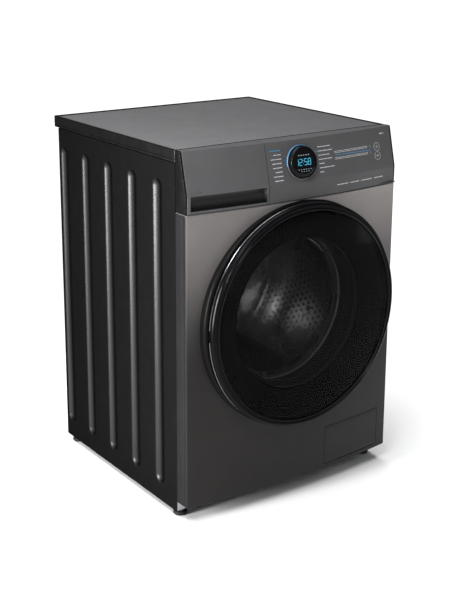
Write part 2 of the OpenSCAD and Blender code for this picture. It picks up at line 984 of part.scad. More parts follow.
module drum_shell() {
    t = 1.2;
    color("#b9bbbd") {
        turned_y([[drum_r - t, drum_y1], [drum_r, drum_y1], [drum_r, drum_y0 + 12], [drum_r - 8, drum_y0 + 3],
            [drum_r - 30, drum_y0], [172, drum_y0], [168, drum_y0 + 4], [168, drum_y0 + 10],
                [168 + t, drum_y0 + 10],
            [168 + t, drum_y0 + 5], [173, drum_y0 + t], [drum_r - 30, drum_y0 + t],
                [drum_r - 8 - t, drum_y0 + 4],
            [drum_r - t, drum_y0 + 12]]);
        turned_y([[0, 132], [120, 132], [150, drum_y1 - t], [drum_r - t, drum_y1 - t], [drum_r - t, drum_y1],
            [149.6, drum_y1], [119.6, 132 + t], [0, 132 + t]]);
    }
}

module drum_spider() {
    color("#a4a7a9") {
        tub_ring(134, 166, 40, 0);
        for (i = [0:2])
            translate([0, 0, axis_z])
                rotate([0, 120 * i, 0])
                    translate([0, drum_y1, -14])
                        cube([232, 14, 28]);
        tub_ring(160, pulley_y + belt_w + 2, shaft_r, 0);
    }
}

// Three lifters, each wide at the shell and round at its crest
module lifters() {
    color("#8e9092")
        for (i = [0:lifter_count - 1])
            translate([0, 0, axis_z])
                rotate([0, 360 / lifter_count * i + 68, 0])
                    intersection() {
                        union() {
                            translate([drum_r - 62, -170, -13])
                                cube([100, 290, 26]);
                            translate([drum_r - 62, -170, 0])
                                rotate([-90, 0, 0])
                                    cylinder(r = 13, h = 290);
                            translate([drum_r - 20, -180, -32])
                                cube([30, 310, 64]);
                        }
                        translate([0, -185, 0])
                            rotate([-90, 0, 0])
                                cylinder(r = drum_r - 1.2, h = 320);
                    }
}

module drum_pulley() {
    color("#a4a7a9") {
        tub_ring(pulley_y, pulley_y + belt_w, drum_pulley_r - 0.3, drum_pulley_r - 10);
        tub_ring(pulley_y, pulley_y + belt_w, 30, shaft_r);
        for (i = [0:5])
            translate([0, 0, axis_z])
                rotate([0, 60 * i, 0])
                    translate([22, pulley_y + 3, -7])
                        cube([drum_pulley_r - 27, 6, 14]);
    }
}

side_panel_left();
side_panel_right();
rear_panel();
rear_service_cover();
case_screws();
base_frame();
front_panel();
top_frame();
top_board();
control_carrier();
control_fascia();
dial_bezel();
display_lens();
display_board();
dispenser_housing();
inlet_valve();
fill_hose();
tub_boots();
door_surround();
door_lock();
hinge_bracket();
bellows();
pump_body();
drain_pipe();
cord_gland();
transit_caps();
foot_lock_nuts();
damper_cylinders();
foot_front_left();
foot_front_right();
foot_back_left();
foot_back_right();
drawer_front();
drawer_tray();
dial_knob();
power_button();
start_button();
filter_cap();
filter_flap();
door_rim();
door_dish();
door_front_glass();
door_back_frame();
door_bowl();
door_hook();
tub_rear();
tub_front();
counterweight_front();
counterweight_top();
motor();
drive_belt();
heater();
bearings();
damper_rods();
suspension_springs();
drum_shell();
drum_spider();
lifters();
drum_pulley();
motor_pulley();
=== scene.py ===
import math

import bmesh
import bpy
from mathutils import Matrix, Vector


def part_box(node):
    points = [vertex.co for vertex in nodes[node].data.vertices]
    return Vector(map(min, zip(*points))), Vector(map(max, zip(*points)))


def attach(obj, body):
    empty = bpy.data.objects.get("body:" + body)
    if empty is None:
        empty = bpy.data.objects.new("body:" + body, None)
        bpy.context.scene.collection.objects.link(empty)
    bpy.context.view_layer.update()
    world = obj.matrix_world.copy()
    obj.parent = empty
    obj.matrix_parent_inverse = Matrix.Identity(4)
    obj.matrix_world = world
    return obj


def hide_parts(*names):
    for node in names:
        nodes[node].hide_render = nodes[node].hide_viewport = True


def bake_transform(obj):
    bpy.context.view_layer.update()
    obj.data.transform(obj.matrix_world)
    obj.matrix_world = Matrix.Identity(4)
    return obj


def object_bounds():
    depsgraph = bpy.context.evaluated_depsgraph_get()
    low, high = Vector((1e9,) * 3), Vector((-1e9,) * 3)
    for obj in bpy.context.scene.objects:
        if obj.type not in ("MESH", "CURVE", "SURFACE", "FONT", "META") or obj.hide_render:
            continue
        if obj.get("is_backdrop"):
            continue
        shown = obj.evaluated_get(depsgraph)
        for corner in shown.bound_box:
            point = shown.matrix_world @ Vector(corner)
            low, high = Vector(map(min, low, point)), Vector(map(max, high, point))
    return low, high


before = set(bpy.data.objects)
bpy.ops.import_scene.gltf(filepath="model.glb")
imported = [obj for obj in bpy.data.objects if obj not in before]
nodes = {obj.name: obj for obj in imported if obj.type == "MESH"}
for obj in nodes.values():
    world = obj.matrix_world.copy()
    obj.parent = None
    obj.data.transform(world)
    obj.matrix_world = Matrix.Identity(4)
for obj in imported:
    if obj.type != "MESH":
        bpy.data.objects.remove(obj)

cad_low, cad_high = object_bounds()
scene = bpy.context.scene

# ---------------------------------------------------------------- measures, in metres

front_low, front_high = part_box("front_panel")
door_low, door_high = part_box("door_rim")
HALF_W = front_high.x
CROWN_Y = front_low.y
SEAM_Y = front_high.y
BOW = 0.021
BOW_R = (HALF_W ** 2 + BOW ** 2) / (2 * BOW)
EDGE_Y = CROWN_Y + BOW
GAP_Z = front_high.z
FOLD_Z = 0.757
TOP_Z = cad_high.z
LEAN = 0.022
TAN = LEAN / (TOP_Z - FOLD_Z)
TILT = math.atan(TAN)
AXIS_Z = (door_low.z + door_high.z) / 2
DIAL_Z = 0.799
SPLIT_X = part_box("drawer_front")[1].x + 0.0008
COVER_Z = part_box("top_frame")[0].z
CABINET_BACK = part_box("side_panel_left")[1].y
COVER_BACK = cad_high.y
DOOR_Y = cad_low.y
SHEET = 0.0012


def sag(x):
    """How far the bowed front lies behind its crown at x."""
    return BOW_R - math.sqrt(BOW_R ** 2 - x * x)


def bow_y(x):
    """Front surface below the panel's fold."""
    return CROWN_Y + sag(x)


# ---------------------------------------------------------------- materials


def ramp(tree, source, stops):
    """Colour ramp through (position, colour) stops."""
    node = tree.nodes.new("ShaderNodeValToRGB")
    node.color_ramp.elements[0].position = stops[0][0]
    node.color_ramp.elements[0].color = stops[0][1]
    node.color_ramp.elements[1].position = stops[-1][0]
    node.color_ramp.elements[1].color = stops[-1][1]
    for position, colour in stops[1:-1]:
        element = node.color_ramp.elements.new(position)
        element.color = colour
    tree.links.new(source, node.inputs["Fac"])
    return node.outputs["Color"]


def noise(tree, vector, scale, detail=3.0, rough=0.55, stretch=None):
    if stretch:
        mapping = tree.nodes.new("ShaderNodeMapping")
        mapping.inputs["Scale"].default_value = stretch
        tree.links.new(vector, mapping.inputs["Vector"])
        vector = mapping.outputs["Vector"]
    node = tree.nodes.new("ShaderNodeTexNoise")
    node.inputs["Scale"].default_value = scale
    node.inputs["Detail"].default_value = detail
    node.inputs["Roughness"].default_value = rough
    tree.links.new(vector, node.inputs["Vector"])
    return node.outputs["Fac"]


def grey(v):
    return (v, v, v, 1.0)


def finish(name, colour, rough, metal=0.0, spread=0.12, rough_spread=0.05, scale=14.0, grain=900.0, bump=0.04,
        stretch=None, coat=0.0, coat_rough=0.08, specular=0.5, alpha=1.0, glow=None, glow_strength=0.0,
        painted_shade=None, edge=None, flake=0.0):
    """A surface whose colour, roughness and relief all vary a little, and whose colour can carry painted shade
    that darkens it towards one end of an axis.
    """
    m = bpy.data.materials.new(name)
    m.use_nodes = True
    tree = m.node_tree
    bsdf = tree.nodes["Principled BSDF"]
    coords = tree.nodes.new("ShaderNodeTexCoord").outputs["Object"]
    broad = noise(tree, coords, scale, 4.0)
    dark = tuple(c * (1 - spread) for c in colour) + (1,)
    light = tuple(min(1.0, c * (1 + spread)) for c in colour) + (1,)
    shade = ramp(tree, broad, [(0.3, dark), (0.7, light)])
    # painted shade: the colour is multiplied down to factor at the axis's low end, so it is darker there than
    # the paint itself
    if painted_shade:
        axis, low, high, factor = painted_shade
        split = tree.nodes.new("ShaderNodeSeparateXYZ")
        tree.links.new(coords, split.inputs["Vector"])
        span = tree.nodes.new("ShaderNodeMapRange")
        span.interpolation_type = "SMOOTHERSTEP"
        span.inputs["From Min"].default_value = low
        span.inputs["From Max"].default_value = high
        span.inputs["To Min"].default_value = factor
        span.inputs["To Max"].default_value = 1.0
        tree.links.new(split.outputs[axis], span.inputs["Value"])
        mix = tree.nodes.new("ShaderNodeMix")
        mix.data_type = "RGBA"
        mix.blend_type = "MULTIPLY"
        mix.inputs["Factor"].default_value = 1.0
        tree.links.new(shade, mix.inputs["A"])
        tree.links.new(span.outputs["Result"], mix.inputs["B"])
        shade = mix.outputs["Result"]
    fine = noise(tree, coords, grain, 2.0, 0.6, stretch)
    if flake:
        mix = tree.nodes.new("ShaderNodeMix")
        mix.data_type = "RGBA"
        mix.blend_type = "OVERLAY"
        mix.inputs["Factor"].default_value = flake
        tree.links.new(shade, mix.inputs["A"])
        tree.links.new(fine, mix.inputs["B"])
        shade = mix.outputs["Result"]
    tree.links.new(shade, bsdf.inputs["Base Color"])
    blotch = noise(tree, coords, scale * 3.1, 3.0)
    tree.links.new(ramp(tree, blotch, [(0.3, grey(max(0.02, rough - rough_spread))),
        (0.7, grey(rough + rough_spread))]), bsdf.inputs["Roughness"])
    if bump:
        relief = tree.nodes.new("ShaderNodeBump")
        relief.inputs["Strength"].default_value = bump
        relief.inputs["Distance"].default_value = 0.0006
        tree.links.new(fine, relief.inputs["Height"])
        tree.links.new(relief.outputs["Normal"], bsdf.inputs["Normal"])
    bsdf.inputs["Metallic"].default_value = metal
    bsdf.inputs["Coat Weight"].default_value = coat
    bsdf.inputs["Coat Roughness"].default_value = coat_rough
    bsdf.inputs["Specular IOR Level"].default_value = specular
    bsdf.inputs["Alpha"].default_value = alpha
    if edge is not None:
        bsdf.inputs["Specular Tint"].default_value = grey(edge)
    if glow:
        bsdf.inputs["Emission Color"].default_value = glow + (1,)
        bsdf.inputs["Emission Strength"].default_value = glow_strength
    return m


M = {name: finish(name, colour, rough, **more) for name, colour, rough, more in (
    ("side_paint", (0.038, 0.038, 0.039), 0.34, dict(metal=1.0, spread=0.02, rough_spread=0.01, grain=1400,
        bump=0.03, edge=0.0)),
    # front_paint carries painted shade: its colour falls to 0.14 of itself from z 0.73 down to 0.34
    ("front_paint", (0.165, 0.155, 0.150), 0.36, dict(metal=0.35, spread=0.05, grain=2600, bump=0.02,
        flake=0.25, specular=0.10, painted_shade=("Z", 0.34, 0.73, 0.14))),
    ("panel_plastic", (0.073, 0.073, 0.075), 0.46, dict(metal=0.1, spread=0.05, grain=2200, bump=0.05,
        specular=0.12, flake=0.2)),
    ("dark_plastic", (0.016, 0.016, 0.017), 0.42, dict(grain=1800, bump=0.08)),
    ("top_frame", (0.020, 0.020, 0.0206), 0.44, dict(metal=0.9, grain=1500, bump=0.06, specular=0.08,
        edge=0.0)),
    ("cheek", (0.020, 0.020, 0.0206), 0.42, dict(metal=0.9, spread=0.06, grain=2200, bump=0.03, specular=0.08,
        edge=0.0)),
    # painted shade: a darker copy of the front paint for the front sheet's side-facing returns
    ("front_return_shade", (0.030, 0.029, 0.030), 0.38, dict(metal=0.7, spread=0.06, grain=2600, bump=0.02, specular=0.08,
        edge=0.0)),
    # scoop carries painted shade: its colour darkens towards the bottom of the grip recess
    ("scoop", (0.060, 0.060, 0.061), 0.42, dict(metal=0.1, spread=0.06, grain=1800, bump=0.04, specular=0.10,
        painted_shade=("Z", 0.722, 0.752, 0.08))),
    ("lifter", (0.10, 0.10, 0.103), 0.34, dict(metal=0.6, spread=0.08, grain=700, bump=0.03)),
    ("top_board", (0.088, 0.088, 0.090), 0.50, dict(metal=0.1, spread=0.05, grain=1100, bump=0.10, flake=0.15)),
    ("gloss_black", (0.0030, 0.0030, 0.0034), 0.14, dict(rough_spread=0.03, spread=0.2, grain=400, bump=0.0,
        specular=0.2)),
    ("rim", (0.0022, 0.0023, 0.0028), 0.20, dict(rough_spread=0.04, grain=900, bump=0.0, specular=0.06)),
    # painted highlight: a lighter metal that stands for the highlight along the door rim's rear rounding
    ("rim_highlight", (0.20, 0.20, 0.205), 0.24, dict(metal=1.0, spread=0.05, grain=900, bump=0.0)),
    ("surround", (0.0035, 0.0035, 0.0037), 0.34, dict(spread=0.06, grain=1400, bump=0.02, specular=0.05)),
    ("drum_steel", (0.56, 0.56, 0.57), 0.27, dict(metal=1.0, spread=0.04, rough_spread=0.03, scale=6,
        grain=60, bump=0.0)),
    ("dish", (0.0020, 0.0020, 0.0022), 0.30, dict(rough_spread=0.04, grain=700, bump=0.0, specular=0.05)),
    ("chrome", (0.16, 0.16, 0.165), 0.30, dict(metal=1.0, spread=0.04, grain=1500, bump=0.02)),
    ("zinc", (0.42, 0.43, 0.44), 0.38, dict(metal=0.95, spread=0.12, scale=40, grain=300, bump=0.03)),
    ("stainless", (0.50, 0.50, 0.51), 0.24, dict(metal=1.0, spread=0.05, grain=260, bump=0.03,
        stretch=(1.0, 9.0, 1.0))),
    ("cast", (0.38, 0.39, 0.40), 0.50, dict(metal=0.9, spread=0.12, scale=30, grain=700, bump=0.25)),
    ("rubber_grey", (0.030, 0.030, 0.032), 0.62, dict(grain=1200, bump=0.10, specular=0.3)),
    ("rubber_black", (0.010, 0.010, 0.011), 0.70, dict(grain=1500, bump=0.14, specular=0.3)),
    ("white_plastic", (0.62, 0.63, 0.62), 0.45, dict(spread=0.04, grain=1500, bump=0.05)),
    ("tray_plastic", (0.52, 0.54, 0.56), 0.35, dict(spread=0.04, grain=1300, bump=0.04)),
    ("tub_plastic", (0.52, 0.53, 0.52), 0.52, dict(spread=0.06, scale=20, grain=900, bump=0.12)),
    ("concrete", (0.30, 0.29, 0.27), 0.85, dict(spread=0.22, scale=60, grain=420, bump=0.6, specular=0.2)),
    ("motor", (0.050, 0.052, 0.056), 0.45, dict(metal=0.3, grain=900, bump=0.10)),
    ("board", (0.014, 0.085, 0.04), 0.38, dict(spread=0.2, scale=180, grain=700, bump=0.08, coat=0.3)),
    ("mark", (0.46, 0.46, 0.47), 0.5, dict(spread=0.05, grain=2000, bump=0.02)),
    # dark print for the label ticks, and painted shade for the drum back's holes
    ("mark_dark", (0.012, 0.012, 0.013), 0.4, dict(spread=0.1, grain=2000, bump=0.02)),
    ("blue", (0.02, 0.16, 0.30), 0.4, dict(spread=0.1, grain=2000, bump=0.0, glow=(0.03, 0.24, 0.46),
        glow_strength=0.22)),
    ("digits", (0.05, 0.35, 0.50), 0.4, dict(spread=0.1, grain=2000, bump=0.0, glow=(0.10, 0.50, 0.74),
        glow_strength=0.26)),
    ("icons", (0.25, 0.3, 0.33), 0.4, dict(spread=0.1, grain=2000, bump=0.0, glow=(0.35, 0.5, 0.6),
        glow_strength=0.10)),
)}


def glass(name, tint, clear, rough, specular=0.5):
    """A thin pane: clear straight through, with a mirror on its face."""
    m = finish(name, tint, rough, rough_spread=0.01, spread=0.15, grain=300, bump=0.0, alpha=1 - clear,
        specular=specular)
    m.surface_render_method = "BLENDED"
    return m


M["smoked"] = glass("smoked", (0.0012, 0.0012, 0.0014), 0.58, 0.03, 0.05)
M["bowl"] = glass("bowl", (0.012, 0.013, 0.014), 0.90, 0.04, 0.08)

# ---------------------------------------------------------------- building


def band(a, b, n):
    """Quads between the ring of n points that starts at a and the one that starts at b."""
    return [(a + k, a + (k + 1) % n, b + (k + 1) % n, b + k) for k in range(n)]


def swept(a, b, n):
    """The same quads turned round, for a section that moves along a path."""
    return [(a + k, b + k, b + (k + 1) % n, a + (k + 1) % n) for k in range(n)]


def caps(n, last):
    """End faces of a swept form whose last ring starts at last."""
    return [tuple(range(n)), tuple(range(last, last + n))[::-1]]


def swept_faces(n, rings):
    """Faces of a capped form swept through equal rings of n points."""
    return [f for i in range(rings - 1) for f in swept(i * n, (i + 1) * n, n)] + caps(n, (rings - 1) * n)


def gathered(parts):
    """Several (verts, faces) pairs as one."""
    verts, faces = [], []
    for v, f in parts:
        base = len(verts)
        verts += v
        faces += [tuple(base + i for i in face) for face in f]
    return verts, faces


TIP = 0.01  # radius in millimetres that closes a turned profile on its axis


def mm(points, base=0.0):
    """Points given in millimetres; the second value of each is counted from base, in metres."""
    return [(a / 1000, base + b / 1000) for a, b in points]


def raw(name, verts, faces, checked=False, merge=True):
    """A bare mesh object with its normals outward."""
    me = bpy.data.meshes.new(name)
    me.from_pydata([tuple(v) for v in verts], [], faces)
    if checked:
        me.validate()
    ob = bpy.data.objects.new(name, me)
    scene.collection.objects.link(ob)
    bm = bmesh.new()
    bm.from_mesh(me)
    if merge:
        bmesh.ops.remove_doubles(bm, verts=bm.verts, dist=1e-6)
    bmesh.ops.recalc_face_normals(bm, faces=bm.faces)
    bm.to_mesh(me)
    bm.free()
    return ob


def mesh_piece(name, verts, faces, body, mat, slot, smooth=35.0, replaces=None):
    return dress(raw(name, verts, faces, True), body, mat, smooth, replaces)


def dress(ob, body, mat, smooth=35.0, replaces=None, even=False):
    me = ob.data
    me.materials.clear()
    me.materials.append(M[mat])
    for p in me.polygons:
        p.use_smooth = True
        p.material_index = 0
    me.set_sharp_from_angle(angle=math.radians(smooth))
    if even:
        w = ob.modifiers.new("even", "WEIGHTED_NORMAL")
        w.keep_sharp = True
        applied(ob)
    if body:
        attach(ob, body)
    if replaces:
        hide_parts(replaces)
    return ob


def applied(ob):
    """Turns an object's modifiers into mesh."""
    me = bpy.data.meshes.new_from_object(ob.evaluated_get(bpy.context.evaluated_depsgraph_get()))
    old = ob.data
    ob.modifiers.clear()
    ob.data = me
    bpy.data.meshes.remove(old)
    return ob


def bevelled(ob, width, segments=2, angle=30.0):
    b = ob.modifiers.new("bevel", "BEVEL")
    b.width = width
    b.segments = segments
    b.limit_method = "ANGLE"
    b.angle_limit = math.radians(angle)
    b.use_clamp_overlap = True
    return applied(ob)


def cut(ob, *tools):
    for tool in tools:
        b = ob.modifiers.new("cut", "BOOLEAN")
        b.operation = "DIFFERENCE"
        b.solver = "EXACT"
        b.object = tool
        applied(ob)
        me = tool.data
        bpy.data.objects.remove(tool)
        bpy.data.meshes.remove(me)
    return ob


def fillet(points, radii, steps=5):
    """A closed outline with its corners rounded."""
    out = []
    n = len(points)
    for i, p in enumerate(points):
        r = radii[i] if isinstance(radii, (list, tuple)) else radii
        p = Vector(p)
        a, b = Vector(points[i - 1]) - p, Vector(points[(i + 1) % n]) - p
        la, lb = a.length, b.length
        if r <= 0 or la < 1e-9 or lb < 1e-9:
            out.append(tuple(p))
            continue
        a, b = a / la, b / lb
        ang = math.acos(max(-1, min(1, a.dot(b))))
        if ang > math.pi - 0.03:
            out.append(tuple(p))
            continue
        t = min(r / math.tan(ang / 2), la * 0.48, lb * 0.48)
        r = t * math.tan(ang / 2)
        centre = p + (a + b).normalized() * (r / math.sin(ang / 2))
        s, e = p + a * t - centre, p + b * t - centre
        sweep = math.pi - ang
        for k in range(steps + 1):
            f = k / steps
            w0 = math.sin((1 - f) * sweep) / math.sin(sweep)
            w1 = math.sin(f * sweep) / math.sin(sweep)
            out.append(tuple(centre + s * w0 + e * w1))
    return out


def lathe_mesh(profile, frame_m, segments=192):
    """Turns a closed (radius, height) outline about the frame's Z."""
    verts, faces = [], []
    n = len(profile)
    for k in range(segments):
        a = 2 * math.pi * k / segments
        verts += [frame_m @ Vector((r * math.cos(a), r * math.sin(a), h)) for r, h in profile]
        faces += band(k * n, (k + 1) % segments * n, n)
    return verts, faces


def rotated(degrees, axis):
    return Matrix.Rotation(math.radians(degrees), 4, axis)


def bow_turn(x):
    """Turn about Z that lines a piece up with the bowed front at x."""
    return Matrix.Rotation(math.asin(x / BOW_R), 4, "Z")


def bow_frame(x, z, back=0.0):
    """Frame on the bowed front at x and height z, or so far behind it."""
    return Matrix.Translation((x, bow_y(x) + back, z)) @ bow_turn(x)


def along_y():
    """Frame on the drum's axis whose Z points along +Y."""
    return Matrix.Translation((0, 0, AXIS_Z)) @ rotated(-90, "X")


def lathe(name, profile, body, mat, slot, frame_m=None, radii=0.0, segments=192, smooth=35.0, replaces=None,
        steps=4):
    if radii:
        profile = fillet(profile, radii, steps)
    verts, faces = lathe_mesh(profile, frame_m or along_y(), segments)
    return mesh_piece(name, verts, faces, body, mat, slot, smooth, replaces)


def prism_raw(outline, frame_m, depth):
    """A prism over an outline in the frame's plane."""
    n = len(outline)
    verts = [frame_m @ Vector((x, y, 0)) for x, y in outline] + [frame_m @ Vector((x, y, depth)) for x,
        y in outline]
    return verts, [tuple(range(n))[::-1], tuple(range(n, 2 * n))] + band(0, n, n)


def rect(w, h):
    return [(-w / 2, -h / 2), (w / 2, -h / 2), (w / 2, h / 2), (-w / 2, h / 2)]


def rounded_rect(w, h, r, steps=5):
    return fillet(rect(w, h), r, steps)


def from_cad(node, mat, width, body):
    """A bevelled copy of a CAD node."""
    ob = bpy.data.objects.new(node + "_shape", nodes[node].data.copy())
    scene.collection.objects.link(ob)
    bm = bmesh.new()
    bm.from_mesh(ob.data)
    bmesh.ops.remove_doubles(bm, verts=bm.verts, dist=2e-6)
    bmesh.ops.dissolve_limit(bm, angle_limit=math.radians(1.0), verts=bm.verts, edges=bm.edges)
    bm.to_mesh(ob.data)
    bm.free()
    bevelled(ob, width)
    return dress(ob, body, mat, 40.0, node, True)


# ---------------------------------------------------------------- paint of the CAD nodes themselves

for mat, names in {
    "zinc": "rear_panel base_frame hinge_bracket foot_lock_nuts door_hook case_screws rear_service_cover",
    "board": "display_board",
    "tray_plastic": "dispenser_housing drawer_tray",
    "white_plastic": "inlet_valve door_lock pump_body",
    "rubber_grey": "fill_hose bellows",
    "rubber_black": "tub_boots drive_belt foot_front_left foot_front_right foot_back_left foot_back_right",
    "dark_plastic": "drain_pipe cord_gland transit_caps damper_cylinders filter_cap lifters control_carrier "
                    "door_surround door_back_frame",
    "tub_plastic": "tub_rear tub_front",
    "concrete": "counterweight_front counterweight_top",
    "motor": "motor",
    "stainless": "heater bearings damper_rods suspension_springs drum_shell",
    "cast": "drum_spider drum_pulley motor_pulley",
    "top_frame": "top_frame", "top_board": "top_board",
    "side_paint": "side_panel_left side_panel_right",
    "front_paint": "front_panel filter_flap",
    "panel_plastic": "control_fascia drawer_front power_button start_button",
    "chrome": "dial_bezel",
    "gloss_black": "dial_knob display_lens",
    "rim": "door_rim", "dish": "door_dish", "smoked": "door_front_glass", "bowl": "door_bowl",
}.items():
    for node in names.split():
        for s in nodes[node].material_slots:
            s.material = M[mat]

# ---------------------------------------------------------------- folded sheets


def folded(name, path, rows, depth, thick):
    """A pressed sheet: path points are (x, y, nx, ny) in plan and rows are (z, inset).

    depth(x, y, z) presses it inward.
    """
    n, m = len(path), len(rows)
    outer, inner = [], []
    for z, inset in rows:
        for x, y, nx, ny in path:
            d = depth(x, y, z) + inset
            outer.append((x - nx * d, y - ny * d, z))
            inner.append((x - nx * (d + thick), y - ny * (d + thick), z))
    # turned edges run inward, so their second face lies further along z
    for i, (z, inset) in enumerate(rows):
        if inset > 0:
            up = 1 if i < m / 2 else -1
            for j in range(n):
                x, y, nx, ny = path[j]
                inner[i * n + j] = (x - nx * max(inset, thick), y - ny * max(inset, thick), z + up * thick)
    verts = outer + inner
    o = m * n
    faces = []
    for i in range(m - 1):
        for j in range(n - 1):
            a, b, c, d = i * n + j, i * n + j + 1, (i + 1) * n + j + 1, (i + 1) * n + j
            faces.append((a, b, c, d))
            faces.append((o + d, o + c, o + b, o + a))
    for j in range(n - 1):
        faces.append((j + 1, j, o + j, o + j + 1))
        k = (m - 1) * n + j
        faces.append((k, k + 1, o + k + 1, o + k))
    for i in range(m - 1):
        a, b = i * n, (i + 1) * n
        faces += [(a, b, o + b, o + a), (b + n - 1, a + n - 1, o + a + n - 1, o + b + n - 1)]
    return raw(name, verts, faces)


def smooth_step(a, b, x):
    t = max(0.0, min(1.0, (x - a) / (b - a)))
    return t * t * (3 - 2 * t)


RIB_YS = [0.056 + (i - 2) * 0.106 for i in range(5)]
RIB_Z = (0.077, COVER_Z - 0.063)
RIB_HALF = 0.0165
RIB_DEPTH = 0.0056
RIB_R = (RIB_HALF ** 2 + RIB_DEPTH ** 2) / (2 * RIB_DEPTH)


def rib_depth(x, y, z):
    total = 0.0
    for yc in RIB_YS:
        dy = y - yc
        if abs(dy) > 0.026:
            continue
        dz = max(RIB_Z[0] - z, 0, z - RIB_Z[1])
        d = math.hypot(dy, dz)
        if d > 0.026:
            continue
        a = math.sqrt(max(0.0, RIB_R ** 2 - d * d)) - (RIB_R - RIB_DEPTH) if d < RIB_R * 0.95 else -0.01
        e = 0.0009
        f = (a + math.sqrt(a * a + e * e)) / 2
        total += f * (1 - smooth_step(0.018, 0.026, d))
    return total


def side_panel(sign, node):
    ys = [SEAM_Y + 0.0008]
    y = ys[0]
    while y < CABINET_BACK - 0.003:
        near = min(abs(y - yc) for yc in RIB_YS)
        y += 0.0013 if near < 0.0205 else (0.003 if near < 0.026 else 0.008)
        ys.append(min(y, CABINET_BACK - 0.003))
    path = [(sign * HALF_W, y, sign, 0.0) for y in ys]
    r = 0.003
    for k in range(1, 7):
        a = math.radians(90 * k / 6)
        path.append((sign * (HALF_W - r + r * math.cos(a)), CABINET_BACK - r + r * math.sin(a),
            sign * math.cos(a), math.sin(a)))
    path.append((sign * (HALF_W - 0.016), CABINET_BACK, 0.0, 1.0))
    zs = []
    for low, high, count in ((0.016, RIB_Z[0] - 0.026, 3), (RIB_Z[0] - 0.026, RIB_Z[0] + 0.002, 20),
            (RIB_Z[0] + 0.002, RIB_Z[1] - 0.002, 14), (RIB_Z[1] - 0.002, RIB_Z[1] + 0.026, 20),
            (RIB_Z[1] + 0.026, COVER_Z - 0.0012, 3)):
        zs += [low + (high - low) * k / count for k in range(count)]
    zs.append(COVER_Z - 0.0012)
    ob = folded(node + "_sheet", path, [(z, 0.0) for z in zs], rib_depth, SHEET)
    return dress(ob, "cabinet", "side_paint", 40.0, node)


side_panel(-1, "side_panel_left")
side_panel(1, "side_panel_right")


def seat(sign):
    """Bracket that a suspension spring hangs from."""
    x0, x1 = HALF_W - SHEET - 0.077, HALF_W - SHEET
    outline = [(x0, 0.7865), (x1, 0.7865), (x1, 0.791), (x0, 0.791)]
    verts, faces = prism_raw([(sign * x, z) for x, z in outline],
        Matrix.Translation((0, 0.056, 0)) @ rotated(90, "X"), 0.032)
    ob = raw("spring_seat_left" if sign < 0 else "spring_seat_right", verts, faces)
    bevelled(ob, 0.0012, 2)
    dress(ob, "cabinet", "zinc", 40)


seat(-1)
seat(1)

# ---------------------------------------------------------------- front panel and filter flap

FLAP_LOW, FLAP_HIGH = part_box("filter_flap")
FLAP_X = (FLAP_LOW.x + 0.0073, FLAP_HIGH.x - 0.0073)
FLAP_Z = (FLAP_LOW.z, FLAP_HIGH.z)


def front_path():
    """Plan of the front: left return, rounded corner, bowed face, corner and right return."""
    half = []
    r = 0.0035
    slope = math.atan2(HALF_W - r, BOW_R)
    # the left return, from the seam forward, with a shallow pressed line before the corner
    for y, x in ((SEAM_Y, HALF_W), (SEAM_Y - 0.004, HALF_W), (SEAM_Y - 0.022, HALF_W),
            (SEAM_Y - 0.0245, HALF_W - 0.0004), (SEAM_Y - 0.029, HALF_W - 0.0012),
            (SEAM_Y - 0.0305, HALF_W - 0.0011), (SEAM_Y - 0.0315, HALF_W - 0.0002)):
        half.append((-x, y, -1.0, 0.0))
    yc = bow_y(HALF_W - r) + r
    for k in range(0, 8):
        a = math.pi + (math.pi / 2 - slope) * k / 7
        half.append((-HALF_W + r + r * math.cos(a), yc + r * math.sin(a), math.cos(a), math.sin(a)))
    xs = [-HALF_W + r + 0.004 + (2 * (HALF_W - r - 0.004)) * k / 116 for k in range(117)]
    mid = [(x, bow_y(x), x / BOW_R, -math.sqrt(1 - (x / BOW_R) ** 2)) for x in xs]
    return half + mid + [(-x, y, -nx, ny) for x, y, nx, ny in reversed(half)]


front_z0 = front_low.z
bend = 0.0022
rows = [(front_z0, 0.016), (front_z0, bend)]
rows += [(front_z0 + bend * (1 - math.cos(math.radians(a))), bend * (1 - math.sin(math.radians(a))))
    for a in (30, 60)]
rows += [(front_z0 + bend, 0.0)]
zs = [front_z0 + 0.006 + (GAP_Z - front_z0 - 0.012) * k / 116 for k in range(117)]
rows += [(z, 0.0) for z in zs]
rows += [(GAP_Z - bend, 0.0)]
rows += [(GAP_Z - bend * (1 - math.cos(math.radians(a))), bend * (1 - math.sin(math.radians(a))))
    for a in (60, 30)]
rows += [(GAP_Z, bend), (GAP_Z, 0.016)]
front = folded("front_sheet", front_path(), rows, lambda x, y, z: 0.0, SHEET)


def flap_outline(grow, steps=8):
    x0, x1 = FLAP_X[0] - grow, FLAP_X[1] + grow
    z0, z1 = FLAP_Z[0] - grow * 1.9, FLAP_Z[1] + grow
    return fillet([(x0, z0), (x1, z0), (x1, z1), (x0, z1)], [0.002 + grow, 0.0035 + grow, 0.002 + grow,
        0.009 + grow], steps)


def tool_from_outline(name, outline, y0, y1):
    verts, faces = prism_raw(outline, Matrix.Translation((0, y1, 0)) @ rotated(90, "X"), y1 - y0)
    return raw(name, verts, faces)


hole = raw("tool_hole", *prism_raw([(0.2465 * math.cos(2 * math.pi * k / 192),
    0.2465 * math.sin(2 * math.pi * k / 192)) for k in range(192)],
    Matrix.Translation((0, -0.20, AXIS_Z)) @ rotated(90, "X"), 0.15))
cut(front, hole, tool_from_outline("tool_flap", flap_outline(0.0008), -0.32, -0.245))
dress(front, "cabinet", "front_paint", 32.0, "front_panel")
# painted shade: the front sheet's side-facing return faces take a darker copy of its paint
front.data.materials.append(M["front_return_shade"])
for p in front.data.polygons:
    if abs(p.normal.x) > 0.75 and abs(p.center.x) > HALF_W - 0.004:
        p.material_index = 1

